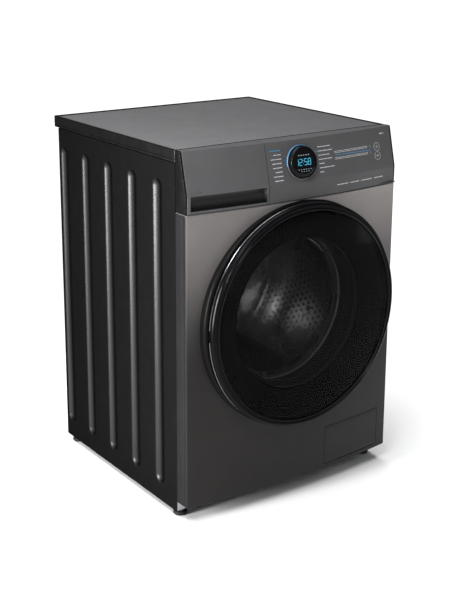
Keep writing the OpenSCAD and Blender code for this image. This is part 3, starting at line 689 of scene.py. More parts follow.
# the panel's turned-in collar, between the hole's edge and the door seal
lathe("front_collar", [(0.2462, bow_y(0.246) + 0.0006), (0.2462, -0.270), (0.2020, -0.2700), (0.2012, -0.2620),
    (0.2000, -0.2620), (0.2008, -0.2712), (0.245, -0.2712), (0.245, bow_y(0.246) + 0.0006)], "cabinet",
    "dark_plastic", "front_paint", segments=160)


def flap_mesh():
    xs = [FLAP_X[0] + (FLAP_X[1] - FLAP_X[0]) * k / 60 for k in range(61)]
    for r in (0.0005, 0.0012, 0.0024, 0.004, 0.006, 0.009):
        xs += [FLAP_X[0] + r, FLAP_X[1] - r]
    xs = sorted(set(round(x, 6) for x in xs))

    def limit(x, top):
        z = FLAP_Z[1] if top else FLAP_Z[0]
        r = (0.009 if x < 0.17 else 0.002) if top else (0.002 if x < 0.17 else 0.0035)
        e = min(x - FLAP_X[0], FLAP_X[1] - x)
        if e < r:
            z -= (r - math.sqrt(max(0, r * r - (r - e) ** 2))) * (1 if top else -1)
        return z

    verts = []
    t, edge = 0.0025, 0.0007
    for x in xs:
        z0, z1 = limit(x, False), limit(x, True)
        e = min(x - FLAP_X[0], FLAP_X[1] - x)
        lip = edge * (1 - min(1, e / edge)) ** 2
        y = bow_y(x)
        col = [(y + t, z0), (y + edge + lip, z0), (y + edge * 0.3 + lip, z0 + edge * 0.3), (y + lip, z0 + edge)]
        col += [(y + lip, z0 + edge + (z1 - z0 - 2 * edge) * k / 8) for k in range(1, 8)]
        col += [(y + lip, z1 - edge), (y + edge * 0.3 + lip, z1 - edge * 0.3), (y + edge + lip, z1),
            (y + t, z1)]
        verts += [(x, a, b) for a, b in col]
    return mesh_piece("filter_flap_face", verts, swept_faces(len(col), len(xs)), "filter_flap", "front_paint",
        "front_paint", 30.0, "filter_flap")


flap_mesh()
flap_mid = (FLAP_X[0] + FLAP_X[1]) / 2
flap_turn = bow_frame(flap_mid, 0.059, 0.005)
for sign, tag in ((-1, "left"), (1, "right")):
    half = (FLAP_X[1] - FLAP_X[0]) / 2
    verts, faces = lathe_mesh(mm([(TIP, 0), (1.5, 0), (1.8, 0.3), (1.8, 13), (1.5, 13.5), (TIP, 13.5)]),
        flap_turn @ Matrix.Translation((sign * (half - 0.006), 0, 0)) @ rotated(90 * sign, "Y"), 24)
    mesh_piece("filter_flap_pin_" + tag, verts, faces, "filter_flap", "dark_plastic", "front_paint")
    at = flap_turn @ Matrix.Translation((sign * (half - 0.0075) - 0.0025, 0, 0))
    at = at @ rotated(90, "Y") @ rotated(90, "Z")
    outline = fillet(mm([(-3, -3), (3.5, -3), (3.5, 3), (-3, 3)]), 0.0015, 4)
    ear = raw("filter_flap_ear_" + tag, *prism_raw(outline, at, 0.005))
    dress(ear, "filter_flap", "dark_plastic")

# ---------------------------------------------------------------- control panel


def slant_y(x, z):
    """Front surface of the control panel at x and height z."""
    return max(bow_y(x), CROWN_Y + (z - FOLD_Z) * TAN + sag(x) / math.cos(TILT))


def slant_frame(x, z):
    """Frame on the leaning face: X along the face, Y up it, Z out of it."""
    origin = Vector((x, CROWN_Y + (z - FOLD_Z) * TAN + sag(x) / math.cos(TILT), z))
    turn = Matrix.Rotation(-TILT, 4, "X") @ bow_turn(x) @ rotated(90, "X")
    return Matrix.Translation(origin) @ turn


PANEL_Z0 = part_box("control_fascia")[0].z
FASCIA_X = (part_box("control_fascia")[0].x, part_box("control_fascia")[1].x)
DRAWER_X = (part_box("drawer_front")[0].x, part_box("drawer_front")[1].x)


def face_rows():
    """Section of the panel's face from bottom to top: (z, set back), with a fine fold and rolled edges."""
    r = 0.0012
    out = [(PANEL_Z0, 0.004), (PANEL_Z0, r)]
    out += [(PANEL_Z0 + r * (1 - math.cos(math.radians(a))), r * (1 - math.sin(math.radians(a))))
        for a in (22, 45, 68)]
    out += [(PANEL_Z0 + r, 0.0)]
    out += [(PANEL_Z0 + 0.003 + (FOLD_Z - 0.0062 - PANEL_Z0) * k / 10, 0.0) for k in range(11)]
    out += [(FOLD_Z - 0.0015, 0.0), (FOLD_Z, 0.00012), (FOLD_Z + 0.0015, 0.0)]
    out += [(FOLD_Z + 0.004 + (TOP_Z - 0.0075 - FOLD_Z) * k / 14, 0.0) for k in range(15)]
    out += [(TOP_Z - r, 0.0)]
    out += [(TOP_Z - r * (1 - math.cos(math.radians(a))), r * (1 - math.sin(math.radians(a))))
        for a in (68, 45, 22)]
    out += [(TOP_Z, r)]
    return out


def panel_face(name, x0, x1, back=0.003):
    """Swept face of the control panel from x0 to x1: ends rolled in, top running back to the seam."""
    r = 0.0011
    xs = [x0, x0 + r * 0.3, x0 + r * 0.62, x0 + r]
    count = max(12, int((x1 - x0) / 0.006))
    xs += [x0 + 0.002 + (x1 - x0 - 0.004) * k / count for k in range(count + 1)]
    xs += [x1 - r, x1 - r * 0.62, x1 - r * 0.3, x1]
    rows = face_rows()
    verts = []
    for x in xs:
        e = min(x - x0, x1 - x)
        roll = 0.0 if e >= r else r - math.sqrt(max(0.0, r * r - (r - e) ** 2))
        col = [(slant_y(x, z) + inset + roll, z) for z, inset in rows]
        top_y = col[-1][0]
        col += [(top_y + (SEAM_Y - 0.0003 - top_y) * k / 3, TOP_Z) for k in (1, 2, 3)]
        col += [(SEAM_Y - 0.0003, TOP_Z - back)]
        col += [(slant_y(x, TOP_Z - back) + back + 0.003, TOP_Z - back), (slant_y(x, FOLD_Z) + back, FOLD_Z),
            (slant_y(x, PANEL_Z0) + back + 0.001, PANEL_Z0 + 0.0002)]
        verts += [(x, y, z) for y, z in col]
    return raw(name, verts, swept_faces(len(col), len(xs)))


def disc_tool(x, z, r, deep=0.03):
    return raw("tool_disc", *lathe_mesh([(TIP / 1000, -deep), (r, -deep), (r, 0.03), (TIP / 1000, 0.03)],
        slant_frame(x, z), 96))


fascia = panel_face("fascia_face", FASCIA_X[0], FASCIA_X[1])
BUTTONS = {"power_button": 0.807, "start_button": 0.7865}
BUTTON_X = 0.241
cut(fascia, disc_tool(0.0, DIAL_Z, 0.03805), *[disc_tool(BUTTON_X, z, 0.0087, 0.01) for z in BUTTONS.values()])
dress(fascia, "cabinet", "panel_plastic", 30.0, "control_fascia")

# the drawer's face, with a scooped grip under a straight lip
drawer = panel_face("drawer_face", DRAWER_X[0], DRAWER_X[1])
GRIP_MID = (DRAWER_X[0] + DRAWER_X[1]) / 2
GRIP_W = 0.190
GRIP_TOP = 0.745
grip_frame = bow_frame(GRIP_MID, GRIP_TOP)
mouth = mm([(-12, -23.2), (-0.5, -23.2), (3.5, -22.2), (8.5, -19.5), (14, -14.8), (18.5, -8), (21, 0),
    (21.6, 7), (21.2, 12), (18.5, 14.6), (11, 15), (7, 14.2), (5.6, 12.5), (5, 10.5), (-12, 10.5)])


def grip_prism(name, outline, w):
    verts = [grip_frame @ Vector((x, y, z)) for x in (-w / 2, w / 2) for y, z in outline]
    return raw(name, verts, swept_faces(len(outline), 2))


shell = mm([(1.2, -25.2), (5, -24.6), (11, -21.8), (17.2, -16.2), (21.8, -9), (24.2, -0.5), (24.6, 7),
    (24.4, 14), (21.5, 17.6), (11, 18), (3, 18), (2.2, 12.5), (1.2, 11)])
trough = grip_prism("tool_trough", shell, GRIP_W + 0.004)
joined = drawer.modifiers.new("join", "BOOLEAN")
joined.operation = "UNION"
joined.solver = "EXACT"
joined.object = trough
applied(drawer)
old = trough.data
bpy.data.objects.remove(trough)
bpy.data.meshes.remove(old)
cut(drawer, grip_prism("tool_mouth", mouth, GRIP_W))
bevelled(drawer, 0.0007, 2, 40)
dress(drawer, "drawer", "panel_plastic", 30.0, "drawer_front", True)
# the grip's recess takes the scoop paint, whose painted shade darkens it downward
drawer.data.materials.append(M["scoop"])
to_grip = grip_frame.inverted()
for p in drawer.data.polygons:
    at = to_grip @ p.center
    sunk = p.center.y - slant_y(p.center.x, p.center.z) > 0.0009
    if sunk and abs(at.x) < GRIP_W / 2 + 0.003 and -0.026 < at.z < 0.019:
        p.material_index = 1

# the arms that join the drawer's face to its tray
tray_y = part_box("drawer_tray")[0].y
for i, x in enumerate((-0.262, -0.193, -0.124)):
    arm = raw("drawer_arm_%d" % i, *prism_raw(mm([(-12, 0), (12, 0), (12, 30), (-12, 30)]),
        Matrix.Translation((x, bow_y(x) + 0.0052, 0.764)), 0.004))
    for v in arm.data.vertices:
        v.co.y = min(v.co.y, tray_y + 0.0005) if v.co.y > bow_y(x) + 0.01 else v.co.y
    dress(bevelled(arm, 0.0008, 2), "drawer", "dark_plastic")


def cheek(sign, name):
    """End plate of the control panel, with a rounded front edge."""
    x0, x1 = (HALF_W - 0.0038) * sign, HALF_W * sign
    e = EDGE_Y + 0.0004
    outline = [(SEAM_Y - 0.0003, PANEL_Z0), (e + 0.0002, PANEL_Z0), (e, FOLD_Z), (e + LEAN, TOP_Z),
        (SEAM_Y - 0.0003, TOP_Z)]
    outline = fillet(outline, [0.0005, 0.0015, 0.012, 0.0025, 0.0005], 6)
    verts = [(x, y, z) for x in (x0, x1) for y, z in outline]
    ob = bevelled(raw(name, verts, swept_faces(len(outline), 2)), 0.0010, 3)
    return dress(ob, "cabinet", "cheek", 30.0)


cheek(-1, "panel_cheek_left")
cheek(1, "panel_cheek_right")

# the cheeks and the plates below stand in for the carrier behind the fascia
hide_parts("control_carrier")


def plate(name, low, high, body, mat, width, replaces=None, segments=2):
    """A bevelled box between two corners."""
    (x0, y0, z0), (x1, y1, z1) = low, high
    verts, faces = prism_raw([(x0, y0), (x1, y0), (x1, y1), (x0, y1)], Matrix.Translation((0, 0, z0)), z1 - z0)
    return dress(bevelled(raw(name, verts, faces), width, segments), body, mat, 35.0, replaces)


shelf_y = EDGE_Y + 0.006
in_x, low_z = HALF_W - 0.0042, PANEL_Z0
for tag, low, high, width in (("shelf", (SPLIT_X, shelf_y - 0.014, low_z + 0.0005),
        (in_x, SEAM_Y, low_z + 0.0025), 0.0005), ("shelf_left", (-in_x, shelf_y + 0.001, low_z + 0.0002),
        (SPLIT_X - 0.0006, SEAM_Y, low_z + 0.0018), 0.0003), ("divider",
        (SPLIT_X + 0.0010, CROWN_Y + 0.0075, low_z + 0.003), (SPLIT_X + 0.0028, SEAM_Y, FOLD_Z), 0.0005),
        ("wall", (SPLIT_X + 0.0015, SEAM_Y - 0.002, low_z + 0.003), (in_x, SEAM_Y, COVER_Z), 0.0005),
        ("seam", (-in_x, SEAM_Y - 0.0004, TOP_Z - 0.010), (in_x, SEAM_Y + 0.0003, TOP_Z - 0.0006), 0.0001)):
    plate("carrier_" + tag, low, high, "cabinet", "dark_plastic", width)

# ---------------------------------------------------------------- dial, display and buttons

dial_frame = slant_frame(0.0, DIAL_Z)
lathe("dial_ring", mm([(36.5, -8), (38, -8), (38, 0), (39.2, 0), (39.2, 2.2), (38.6, 3.2), (37.4, 4),
    (36.8, 3.6), (36.5, 2.6)]), "cabinet", "chrome", "bright_trim", dial_frame, 0.0003, 160,
    replaces="dial_bezel", steps=3)


def knurled(name, profile, frame_m, body, mat, slot, teeth, depth, zone, replaces):
    """A lathe piece with fine grip teeth; zone is their lowest and highest z and least radius."""
    section = (0.0, 0.75, 1.0, 0.75)
    segments = teeth * len(section)
    low, high, least = zone
    verts, faces = [], []
    n = len(profile)
    for k in range(segments):
        a = 2 * math.pi * k / segments
        sunk = depth * (1 - section[k % len(section)])
        for r, h in profile:
            q = r - sunk if low <= h <= high and r > least else r
            verts.append(frame_m @ Vector((q * math.cos(a), q * math.sin(a), h)))
        faces += band(k * n, (k + 1) % segments * n, n)
    return mesh_piece(name, verts, faces, body, mat, slot, 50.0, replaces)


knurled("dial_ring_grip", mm([(33.2, -4), (36, -4), (36, 3.5), (36, 4.2), (36, 11.8), (36, 12.4), (35.85, 13.6),
    (35.4, 14.4), (34.8, 14.9), (34, 15), (33.3, 14.7), (33.2, 14.2)]), dial_frame, "dial", "gloss_black",
    "gloss_black", 90, 0.00045, (0.004, 0.012, 0.0355), "dial_knob")
lathe("display_cover", mm([(TIP, 13.9), (20, 13.95), (30, 13.7), (32.2, 13), (33.1, 11.8), (33.1, -18),
    (30.5, -18), (30.5, 11), (TIP, 11)]), "cabinet", "gloss_black", "display_black", dial_frame, segments=128,
    replaces="display_lens")


def flat_piece(name, outline, frame_m, low, high, body, mat, slot):
    """A thin plate from an outline in the frame's plane."""
    return many_plates(name, [outline], frame_m, low, high, body, mat, slot)


def arc_outline(r0, r1, a0, a1, steps):
    """Outline of a flat ring's part, from angle a0 to a1 in degrees."""
    out = []
    for r, start, end in ((r1, a0, a1), (r0, a1, a0)):
        for k in range(steps + 1):
            a = math.radians(start + (end - start) * k / steps)
            out.append((r * math.cos(a), r * math.sin(a)))
    return out


arc_verts, arc_faces = [], []
ARC_FROM, ARC_TO, ARC_STEPS = 58, 188, 48
ARC = mm([(38.3, 3), (38.8, 2.6), (39.1, 2.1), (39.1, 1.2), (39.45, 1.2), (39.45, 2.3), (39.1, 3.2),
    (38.6, 3.6), (38.2, 3.4)])
for k in range(ARC_STEPS + 1):
    a = math.radians(ARC_FROM + (ARC_TO - ARC_FROM) * k / ARC_STEPS)
    arc_verts += [dial_frame @ Vector((r * math.cos(a), r * math.sin(a), h)) for r, h in ARC]
m = len(ARC)
for k in range(ARC_STEPS):
    arc_faces += band(k * m, (k + 1) * m, m)
arc_faces += [tuple(range(m))[::-1], tuple(ARC_STEPS * m + i for i in range(m))]
mesh_piece("dial_arc", arc_verts, arc_faces, "cabinet", "blue", "bright_trim", 40.0)

SEGMENTS = {"0": "abcdef", "1": "bc", "2": "abged", "3": "abgcd", "4": "fgbc", "5": "afgcd", "6": "afgedc",
    "7": "abc", "8": "abcdefg", "9": "abcdfg"}


def digit_outlines(ch, x, y, w, h, t):
    """Bars of one seven-part figure whose lower left corner is x, y."""
    g = t * 0.12
    bars = {"a": (x + t * 0.6, y + h - t, w - t * 1.2, t), "g": (x + t * 0.6, y + h / 2 - t / 2, w - t * 1.2,
        t), "d": (x + t * 0.6, y, w - t * 1.2, t), "f": (x, y + h / 2 + g, t, h / 2 - t * 0.6),
        "b": (x + w - t, y + h / 2 + g, t, h / 2 - t * 0.6), "e": (x, y + t * 0.6 - g, t, h / 2 - t * 0.6),
        "c": (x + w - t, y + t * 0.6 - g, t, h / 2 - t * 0.6)}
    out = []
    for s in SEGMENTS[ch]:
        bx, by, bw, bh = bars[s]
        slope = 0.09
        pts = [(bx, by), (bx + bw, by), (bx + bw, by + bh), (bx, by + bh)]
        out.append([(px + (py - y) * slope, py) for px, py in pts])
    return out


def many_plates(name, outlines, frame_m, low, high, body, mat, slot):
    """Several thin plates as one piece."""
    at = frame_m @ Matrix.Translation((0, 0, low))
    parts = [prism_raw(outline, at, high - low) for outline in outlines]
    return mesh_piece(name, *gathered(parts), body, mat, slot, 30.0)


figures = []
for ch, x in (("1", -0.0252), ("2", -0.0146), ("5", -0.0010), ("8", 0.0094)):
    figures += digit_outlines(ch, x, -0.0072, 0.0084, 0.0150, 0.0012)
for y in (-0.0030, 0.0030):
    figures.append([(-0.0043 + a, y + b) for a, b in ((0, 0), (0.0014, 0), (0.0015, 0.0014), (0.0001, 0.0014))])
many_plates("display_figures", figures, dial_frame, 0.01385, 0.01415, "cabinet", "digits", "display_black")
signs = []
for y, count, w in ((0.0155, 5, 0.0030), (-0.0160, 6, 0.0024), (-0.0205, 4, 0.0022)):
    for k in range(count):
        x = (k - (count - 1) / 2) * 0.0068
        signs.append([(x + a * w / 2, y + b * w / 3) for a, b in ((-1, -1), (1, -1), (1, 1), (-1, 1))])
many_plates("display_signs", signs, dial_frame, 0.01375, 0.01405, "cabinet", "icons", "display_black")

for name, z in BUTTONS.items():
    f = slant_frame(BUTTON_X, z)
    lathe(name + "_cap", mm([(TIP, -5.6), (9.6, -5.6), (9.6, -4.2), (8.4, -4.2), (8.4, 0), (8.2, 0.45),
        (7.7, 0.6), (6, 0.45), (TIP, 0.35)]), name, "panel_plastic", "panel_plastic", f, segments=72,
        replaces=name)
    flat_piece(name + "_ring", arc_outline(0.0090, 0.0097, 0, 359.9, 72), f, -0.0004, 0.0002, "cabinet", "mark",
        "panel_plastic")
flat_piece("power_sign_ring", arc_outline(0.0024, 0.0029, 120, 420, 30), slant_frame(BUTTON_X, 0.807), 0.0003,
    0.0006, "power_button", "mark", "panel_plastic")
flat_piece("power_sign_bar", mm([(-0.25, 0.5), (0.25, 0.5), (0.25, 3.4), (-0.25, 3.4)]),
    slant_frame(BUTTON_X, 0.807), 0.0003, 0.0006, "power_button", "mark", "panel_plastic")
many_plates("start_sign", [mm([(-3, -2), (-0.4, 0), (-3, 2)]),
    mm([(0.4, -1.9), (1, -1.9), (1, 1.9), (0.4, 1.9)]), mm([(1.9, -1.9), (2.5, -1.9), (2.5, 1.9), (1.9, 1.9)])],
    slant_frame(BUTTON_X, 0.7865), 0.0003, 0.0006, "start_button", "mark", "panel_plastic")


def strip_frame(x, z):
    """Frame on the upright strip below the fold."""
    return bow_frame(x, z) @ rotated(90, "X")


def marks(name, bars, mat, frame_at=slant_frame):
    """Printed label bars, each x, z, width, height, sunk into the face they lie on."""
    parts = [prism_raw(rect(w, h), frame_at(x + w / 2, z) @ Matrix.Translation((0, 0, -0.0004)), 0.00045) for x,
        z, w, h in bars]
    return mesh_piece(name, *gathered(parts), "cabinet", mat, "panel_plastic", 30.0)


WORD_GAP = 0.0012


def words(x, z, lengths, h):
    """A row of short bars standing for words."""
    out = []
    for w in lengths:
        out.append((x, z, w, h))
        x += w + WORD_GAP
    return out


left_rows = [(0.016, 0.011), (0.009, 0.010), (0.012, 0.015), (0.011, 0.013), (0.008, 0.015), (0.019,),
    (0.010, 0.014), (0.012, 0.010)]
right_rows = [(0.015, 0.009, 0.011), (0.012, 0.016, 0.012), (0.009, 0.012, 0.010), (0.014, 0.011, 0.013),
    (0.016,), (0.012, 0.017, 0.014), (0.012,)]
pale, blue_rows, ticks = [], [], []
for i, row in enumerate(left_rows):
    z = DIAL_Z + 0.0315 - i * 0.0092
    total = sum(row) + WORD_GAP * (len(row) - 1)
    bars = words(-0.0515 - total, z, row, 0.0016)
    (blue_rows if i == 0 else pale).extend(bars)
    ticks.append((-0.0495, z, 0.0065, 0.0013))
for i, row in enumerate(right_rows):
    z = DIAL_Z + 0.0280 - i * 0.0092
    pale.extend(words(0.0530, z, row, 0.0016))
    (blue_rows if i == 1 else ticks).append((0.0440, z, 0.0065, 0.0013))
for z in (0.8118, 0.8088, 0.7975, 0.7945):
    lengths = (0.006, 0.004, 0.009, 0.005, 0.012, 0.008, 0.006, 0.010, 0.005, 0.009, 0.011, 0.007)
    pale += words(0.1035, z, lengths if z in (0.8118, 0.7945) else lengths[::-1], 0.0010)
pale += [(0.1035 + 0.0382 * k, z, 0.0006, 0.0056) for k in range(4) for z in (0.8103, 0.7960)]
pale += [(0.2560, 0.8350, 0.0080, 0.0030), (0.2655, 0.8350, 0.0050, 0.0014)]
blue_rows.append((0.1035, 0.8030, 0.1140, 0.0012))
marks("label_rows", pale, "mark")
marks("label_rows_lit", blue_rows, "blue")
marks("label_ticks", ticks, "mark_dark")


strip = []
for x, row in ((0.103, (0.010, 0.012, 0.010)), (0.144, (0.004, 0.010, 0.012)),
        (0.180, (0.004, 0.010, 0.012, 0.006)), (0.224, (0.011, 0.004, 0.012))):
    strip += words(x, 0.7370, row, 0.0018)
marks("strip_labels", strip, "mark", strip_frame)

# ---------------------------------------------------------------- top

BORDER = 0.006


def ring_plate(name, outer, inner, z0, z1, body, mat, width, replaces=None):
    """A flat frame between two outlines of the same length."""
    n = len(outer)
    verts = [(x, y, z) for z in (z0, z1) for x, y in outer] + [(x, y, z) for z in (z0, z1) for x, y in inner]
    faces = []
    for i in range(n):
        j = (i + 1) % n
        faces += [(i, j, n + j, n + i), (2 * n + j, 2 * n + i, 3 * n + i, 3 * n + j),
            (n + i, n + j, 3 * n + j, 3 * n + i), (j, i, 2 * n + i, 2 * n + j)]
    return dress(bevelled(raw(name, verts, faces), width, 3), body, mat, 35.0, replaces)


def square_ring(inset, r, y_front):
    x = HALF_W - inset
    return fillet([(x, COVER_BACK - inset), (-x, COVER_BACK - inset), (-x, y_front), (x, y_front)], r, 4)


ring_plate("top_rim", square_ring(0.0, 0.004, SEAM_Y + 0.0006), square_ring(BORDER, 0.002, SEAM_Y + 0.0065),
    COVER_Z + 0.006, TOP_Z, "cabinet", "top_frame", 0.0012, "top_frame")
ring_plate("top_skirt", square_ring(0.0002, 0.004, SEAM_Y + 0.0008),
    square_ring(0.0040, 0.002, SEAM_Y + 0.0045), COVER_Z, COVER_Z + 0.0058, "cabinet", "top_frame",
    0.0008)
plate("top_sheet", (-HALF_W + 0.005, SEAM_Y + 0.0055, TOP_Z - 0.0080),
    (HALF_W - 0.005, COVER_BACK - 0.005, TOP_Z - 0.0022), "cabinet", "top_board", 0.0010,
    "top_board", 3)

# ---------------------------------------------------------------- door

Y = DOOR_Y
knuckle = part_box("hinge_bracket")[0] + Vector((0.0054, 0.0054, 0))


def slot_tools():
    """Room for the hinge's knuckle and arm in the ring."""
    z, high = AXIS_Z - 0.0135, 0.027
    circle = [(0.0064 * math.cos(math.pi * k / 24), 0.0064 * math.sin(math.pi * k / 24)) for k in range(48)]
    x, y, back = knuckle.x, knuckle.y, Y + 0.023
    arm = [(x, y - 0.0034), (-0.236, y - 0.0034), (-0.236, back), (x, back)]
    rear = [(-0.268, y + 0.003), (-0.236, y + 0.003), (-0.236, back), (-0.268, back)]
    return [raw("tool_knuckle", *prism_raw(circle, Matrix.Translation((x, y, z)), high)),
        raw("tool_arm", *prism_raw(arm, Matrix.Translation((0, 0, z)), high)),
        raw("tool_rear", *prism_raw(rear, Matrix.Translation((0, 0, z)), high))]


RING = mm([(246, 21.9), (258.5, 21.9), (260.2, 17), (261.7, 10), (261.8, 6), (260.6, 3.4), (258.8, 1.8),
    (256.6, 0.2), (253.4, 0.2), (252.4, 2), (250.8, 2.4), (249.6, 1), (247, 0.4), (244.6, 1.2), (244.6, 6),
    (240, 6), (240, 8.4), (245.8, 8.4)], Y)
ring_form = raw("door_ring", *lathe_mesh(fillet(RING, 0.0006, 4), along_y(), 256))
cut(ring_form, *slot_tools())
dress(ring_form, "door", "rim", 35.0, "door_rim")
# painted highlight: a thin lighter ring on the rim's rear rounding, where a highlight line falls
RIM_HIGHLIGHT = mm([(259.4, 15), (260.7, 15), (261.3, 15.8), (260.9, 17.2), (260, 18.4), (259, 18.6)], Y)
highlight_form = raw("door_ring_highlight", *lathe_mesh(RIM_HIGHLIGHT, along_y(), 256))
cut(highlight_form, *slot_tools())
dress(highlight_form, "door", "rim_highlight", 35.0)
lathe("door_pane", mm([(TIP, 1.6), (242, 1.6), (243.5, 2.1), (244, 3), (244, 5.9), (TIP, 5.9)], Y), "door",
    "smoked", "smoked_glass", None, 0.0, 256, replaces="door_front_glass")
lathe("door_dish_form", mm([(238.8, 9.2), (234, 10), (220, 15.2), (190, 26.8), (183, 29.5), (179.2, 31.2),
    (178.2, 32.5), (178.4, 34.1), (180, 34.1), (183.8, 32.5), (190, 29.8), (220, 18), (234.5, 12.6),
    (238.8, 11.2)], Y), "door", "dish", "gloss_black", None, 0.0008, 192, replaces="door_dish")
lathe("door_window_trim", mm([(178.2, 32.2), (180.2, 30), (181.2, 29.2), (182.2, 29.6), (180, 31.6),
    (178.8, 33)], Y), "door", "rim", "gloss_black", None, 0.0, 192)
lathe("door_bowl_form", mm([(TIP, -212), (60, -211.7), (112, -211.2), (119, -212.4), (124.5, -215.2),
    (130, -220.5), (148, -242.8), (160, -257.2), (163, -259.7), (168, -261), (182.4, -261), (182.4, -265),
    (164, -265), (159.8, -263.6), (156.5, -260.8), (144, -245), (127.5, -224.8), (122.5, -219.4), (118, -216.5),
    (111, -215.2), (60, -215.7), (TIP, -216)]), "door", "bowl", "bowl_glass", None, 0.0, 160,
    replaces="door_bowl")
lathe("door_frame_form", mm([(245.5, 19.6), (245.5, 22.4), (222, 22.4), (208, 26.2), (199.2, 28.8), (186, 35.6),
    (186, 59), (169, 60), (169, 57.2), (183, 57), (183.2, 35.2), (200, 27.2), (222, 19.6)], Y), "door",
    "dark_plastic", "dark_plastic", None, 0.0005, 192, replaces="door_back_frame")
hook = raw("door_hook_form", *prism_raw(fillet(mm([(225, -295.5), (231, -295.5), (231, -266), (236, -265.5),
    (236, -264), (230, -262), (225, -262)]), 0.0006, 3), Matrix.Translation((0, 0, AXIS_Z - 0.008)), 0.016))
dress(bevelled(hook, 0.0005, 2), "door", "zinc", 35.0, "door_hook")

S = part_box("door_surround")[0].y
ring = [(0.2482, EDGE_Y - 0.0010), (0.2482, S + 0.0030), (0.2490, S + 0.0012), (0.2510, S + 0.0003),
    (0.2565, S + 0.0001), (0.2600, S + 0.0005), (0.2625, S + 0.0020), (0.2642, S + 0.0045),
    (0.2650, S + 0.0080), (0.2650, EDGE_Y - 0.0010)]


def bowed_ring(name, profile, body, mat, replaces, segments=256, sink=0.0006):
    """A lathe ring whose back follows the bowed panel."""
    verts, faces = [], []
    n = len(profile)
    for k in range(segments):
        a = 2 * math.pi * k / segments
        for r, y in profile:
            x = r * math.cos(a)
            verts.append((x, min(y, bow_y(x) + sink), AXIS_Z + r * math.sin(a)))
        faces += band(k * n, (k + 1) % segments * n, n)
    return dress(raw(name, verts, faces, merge=False), body, mat, 35.0, replaces)


bowed_ring("door_surround_ring", ring, "cabinet", "surround", "door_surround")

# ---------------------------------------------------------------- seal

lathe("door_seal", mm([(190, -260), (191.5, -262), (204.5, -262), (205.8, -260.5), (205.6, -256.8), (203, -256),
    (196.2, -255.6), (194.5, -253), (194.2, -240), (195.8, -237.4), (197.6, -236.2), (198, -234), (198, -225.5),
    (197, -223.2), (194, -222.8), (192.2, -221), (192, -217.6), (190, -217), (179.5, -217), (178, -218.5),
    (178.6, -221.5), (183, -223.2), (187.2, -224.2), (187, -228.6), (189, -229.2), (193.6, -229.4),
    (193.8, -232.6), (190.5, -233.4), (190, -236), (190.4, -248)]), "cabinet", "rubber_grey", "rubber_grey",
    None, 0.0006, 192, replaces="bellows")
for i, y in enumerate((-0.2505, -0.2450, -0.2395)):
    lathe("door_seal_fold_%d" % i, mm([(190.3, -1.6), (191.2, -2.2), (191.2, 2.2), (190.3, 1.6), (188.8, 0.6),
        (188.8, -0.6)], y), "cabinet", "rubber_grey", "rubber_grey", None, 0.0003, 160)

# ---------------------------------------------------------------- drum

drum_low, drum_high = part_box("drum_shell")
DRUM_R, DRUM_Y0, DRUM_Y1 = drum_high.x, drum_low.y, drum_high.y


def drum_wall():
    """Perforated drum wall: a sheet with staggered round holes."""
    around, rows = 96, 20
    y0, y1 = DRUM_Y0 + 0.020, DRUM_Y1 - 0.0010
    pitch = (y1 - y0) / rows
    verts, faces = [], []
    index = {}
    t = 0.0011

    def vert(layer, a, y, r):
        key = (layer, round(a, 7), round(y, 7))
        if key not in index:
            index[key] = len(verts)
            verts.append((r * math.cos(a), y, AXIS_Z + r * math.sin(a)))
        return index[key]

    cell = 2 * math.pi / around
    hole_r, sides = 0.0034, 8
    # the eight points about a cell, in halves of its width and height
    about = ((0, 0), (1, 0), (2, 0), (2, 1), (2, 2), (1, 2), (0, 2), (0, 1))
    for row in range(rows):
        shift = cell / 2 if row % 2 else 0.0
        levels = (y0 + row * pitch, y0 + (row + 0.5) * pitch, y0 + (row + 1) * pitch)
        for k in range(around):
            a0 = k * cell + shift
            edges = (a0, a0 + cell / 2, a0 + cell)
            corners = [(edges[i], levels[j]) for i, j in about]
            rim = []
            for i in range(sides):
                w = math.radians(225 + i * 45)
                rim.append((edges[1] + hole_r / DRUM_R * math.cos(w), levels[1] + hole_r * math.sin(w)))
            for i in range(sides):
                j = (i + 1) % sides
                ends = (corners[i], corners[j], rim[j], rim[i])
                o, q = [[vert(layer, a % (2 * math.pi), y, r) for a, y in ends] for layer,
                    r in ((0, DRUM_R - 0.0002), (1, DRUM_R - t))]
                faces += [tuple(o), tuple(q[::-1]), (o[3], o[2], q[2], q[3])]
    return dress(raw("drum_wall", verts, faces, True, False), "drum", "drum_steel", 60.0,
        "drum_shell")


drum_wall()
lathe("drum_front_lip", mm([(244.8, 20.5), (245, 12), (243.5, 7.2), (240, 3.8), (215, 0.2), (190, 1),
    (173, 0.2), (169.4, 1.4), (168.1, 4.5), (168.1, 9.8), (169.2, 9.8), (169.3, 5.5), (170.4, 2.8),
    (173.5, 1.4), (190, 2.2), (215, 1.4), (239.2, 5), (242.4, 8), (243.8, 12.4), (243.8, 20.5)], DRUM_Y0),
    "drum", "drum_steel", "stainless", None, 0.0, 192)
lathe("drum_back", mm([(TIP, 132.2), (118, 132.2), (121.5, 133), (133, 139.2), (146, 146.2), (151, 148.4),
    (218, 148.6), (225, 147.8), (233, 147.8), (239.5, 148.8), (243.8, 147), (244.8, 148.8), (244, 149.9),
    (150.5, 149.9), (145.5, 147.6), (132.5, 140.6), (120.5, 134.2), (117.5, 133.3), (TIP, 133.3)]), "drum",
    "drum_steel", "stainless", None, 0.0, 192)


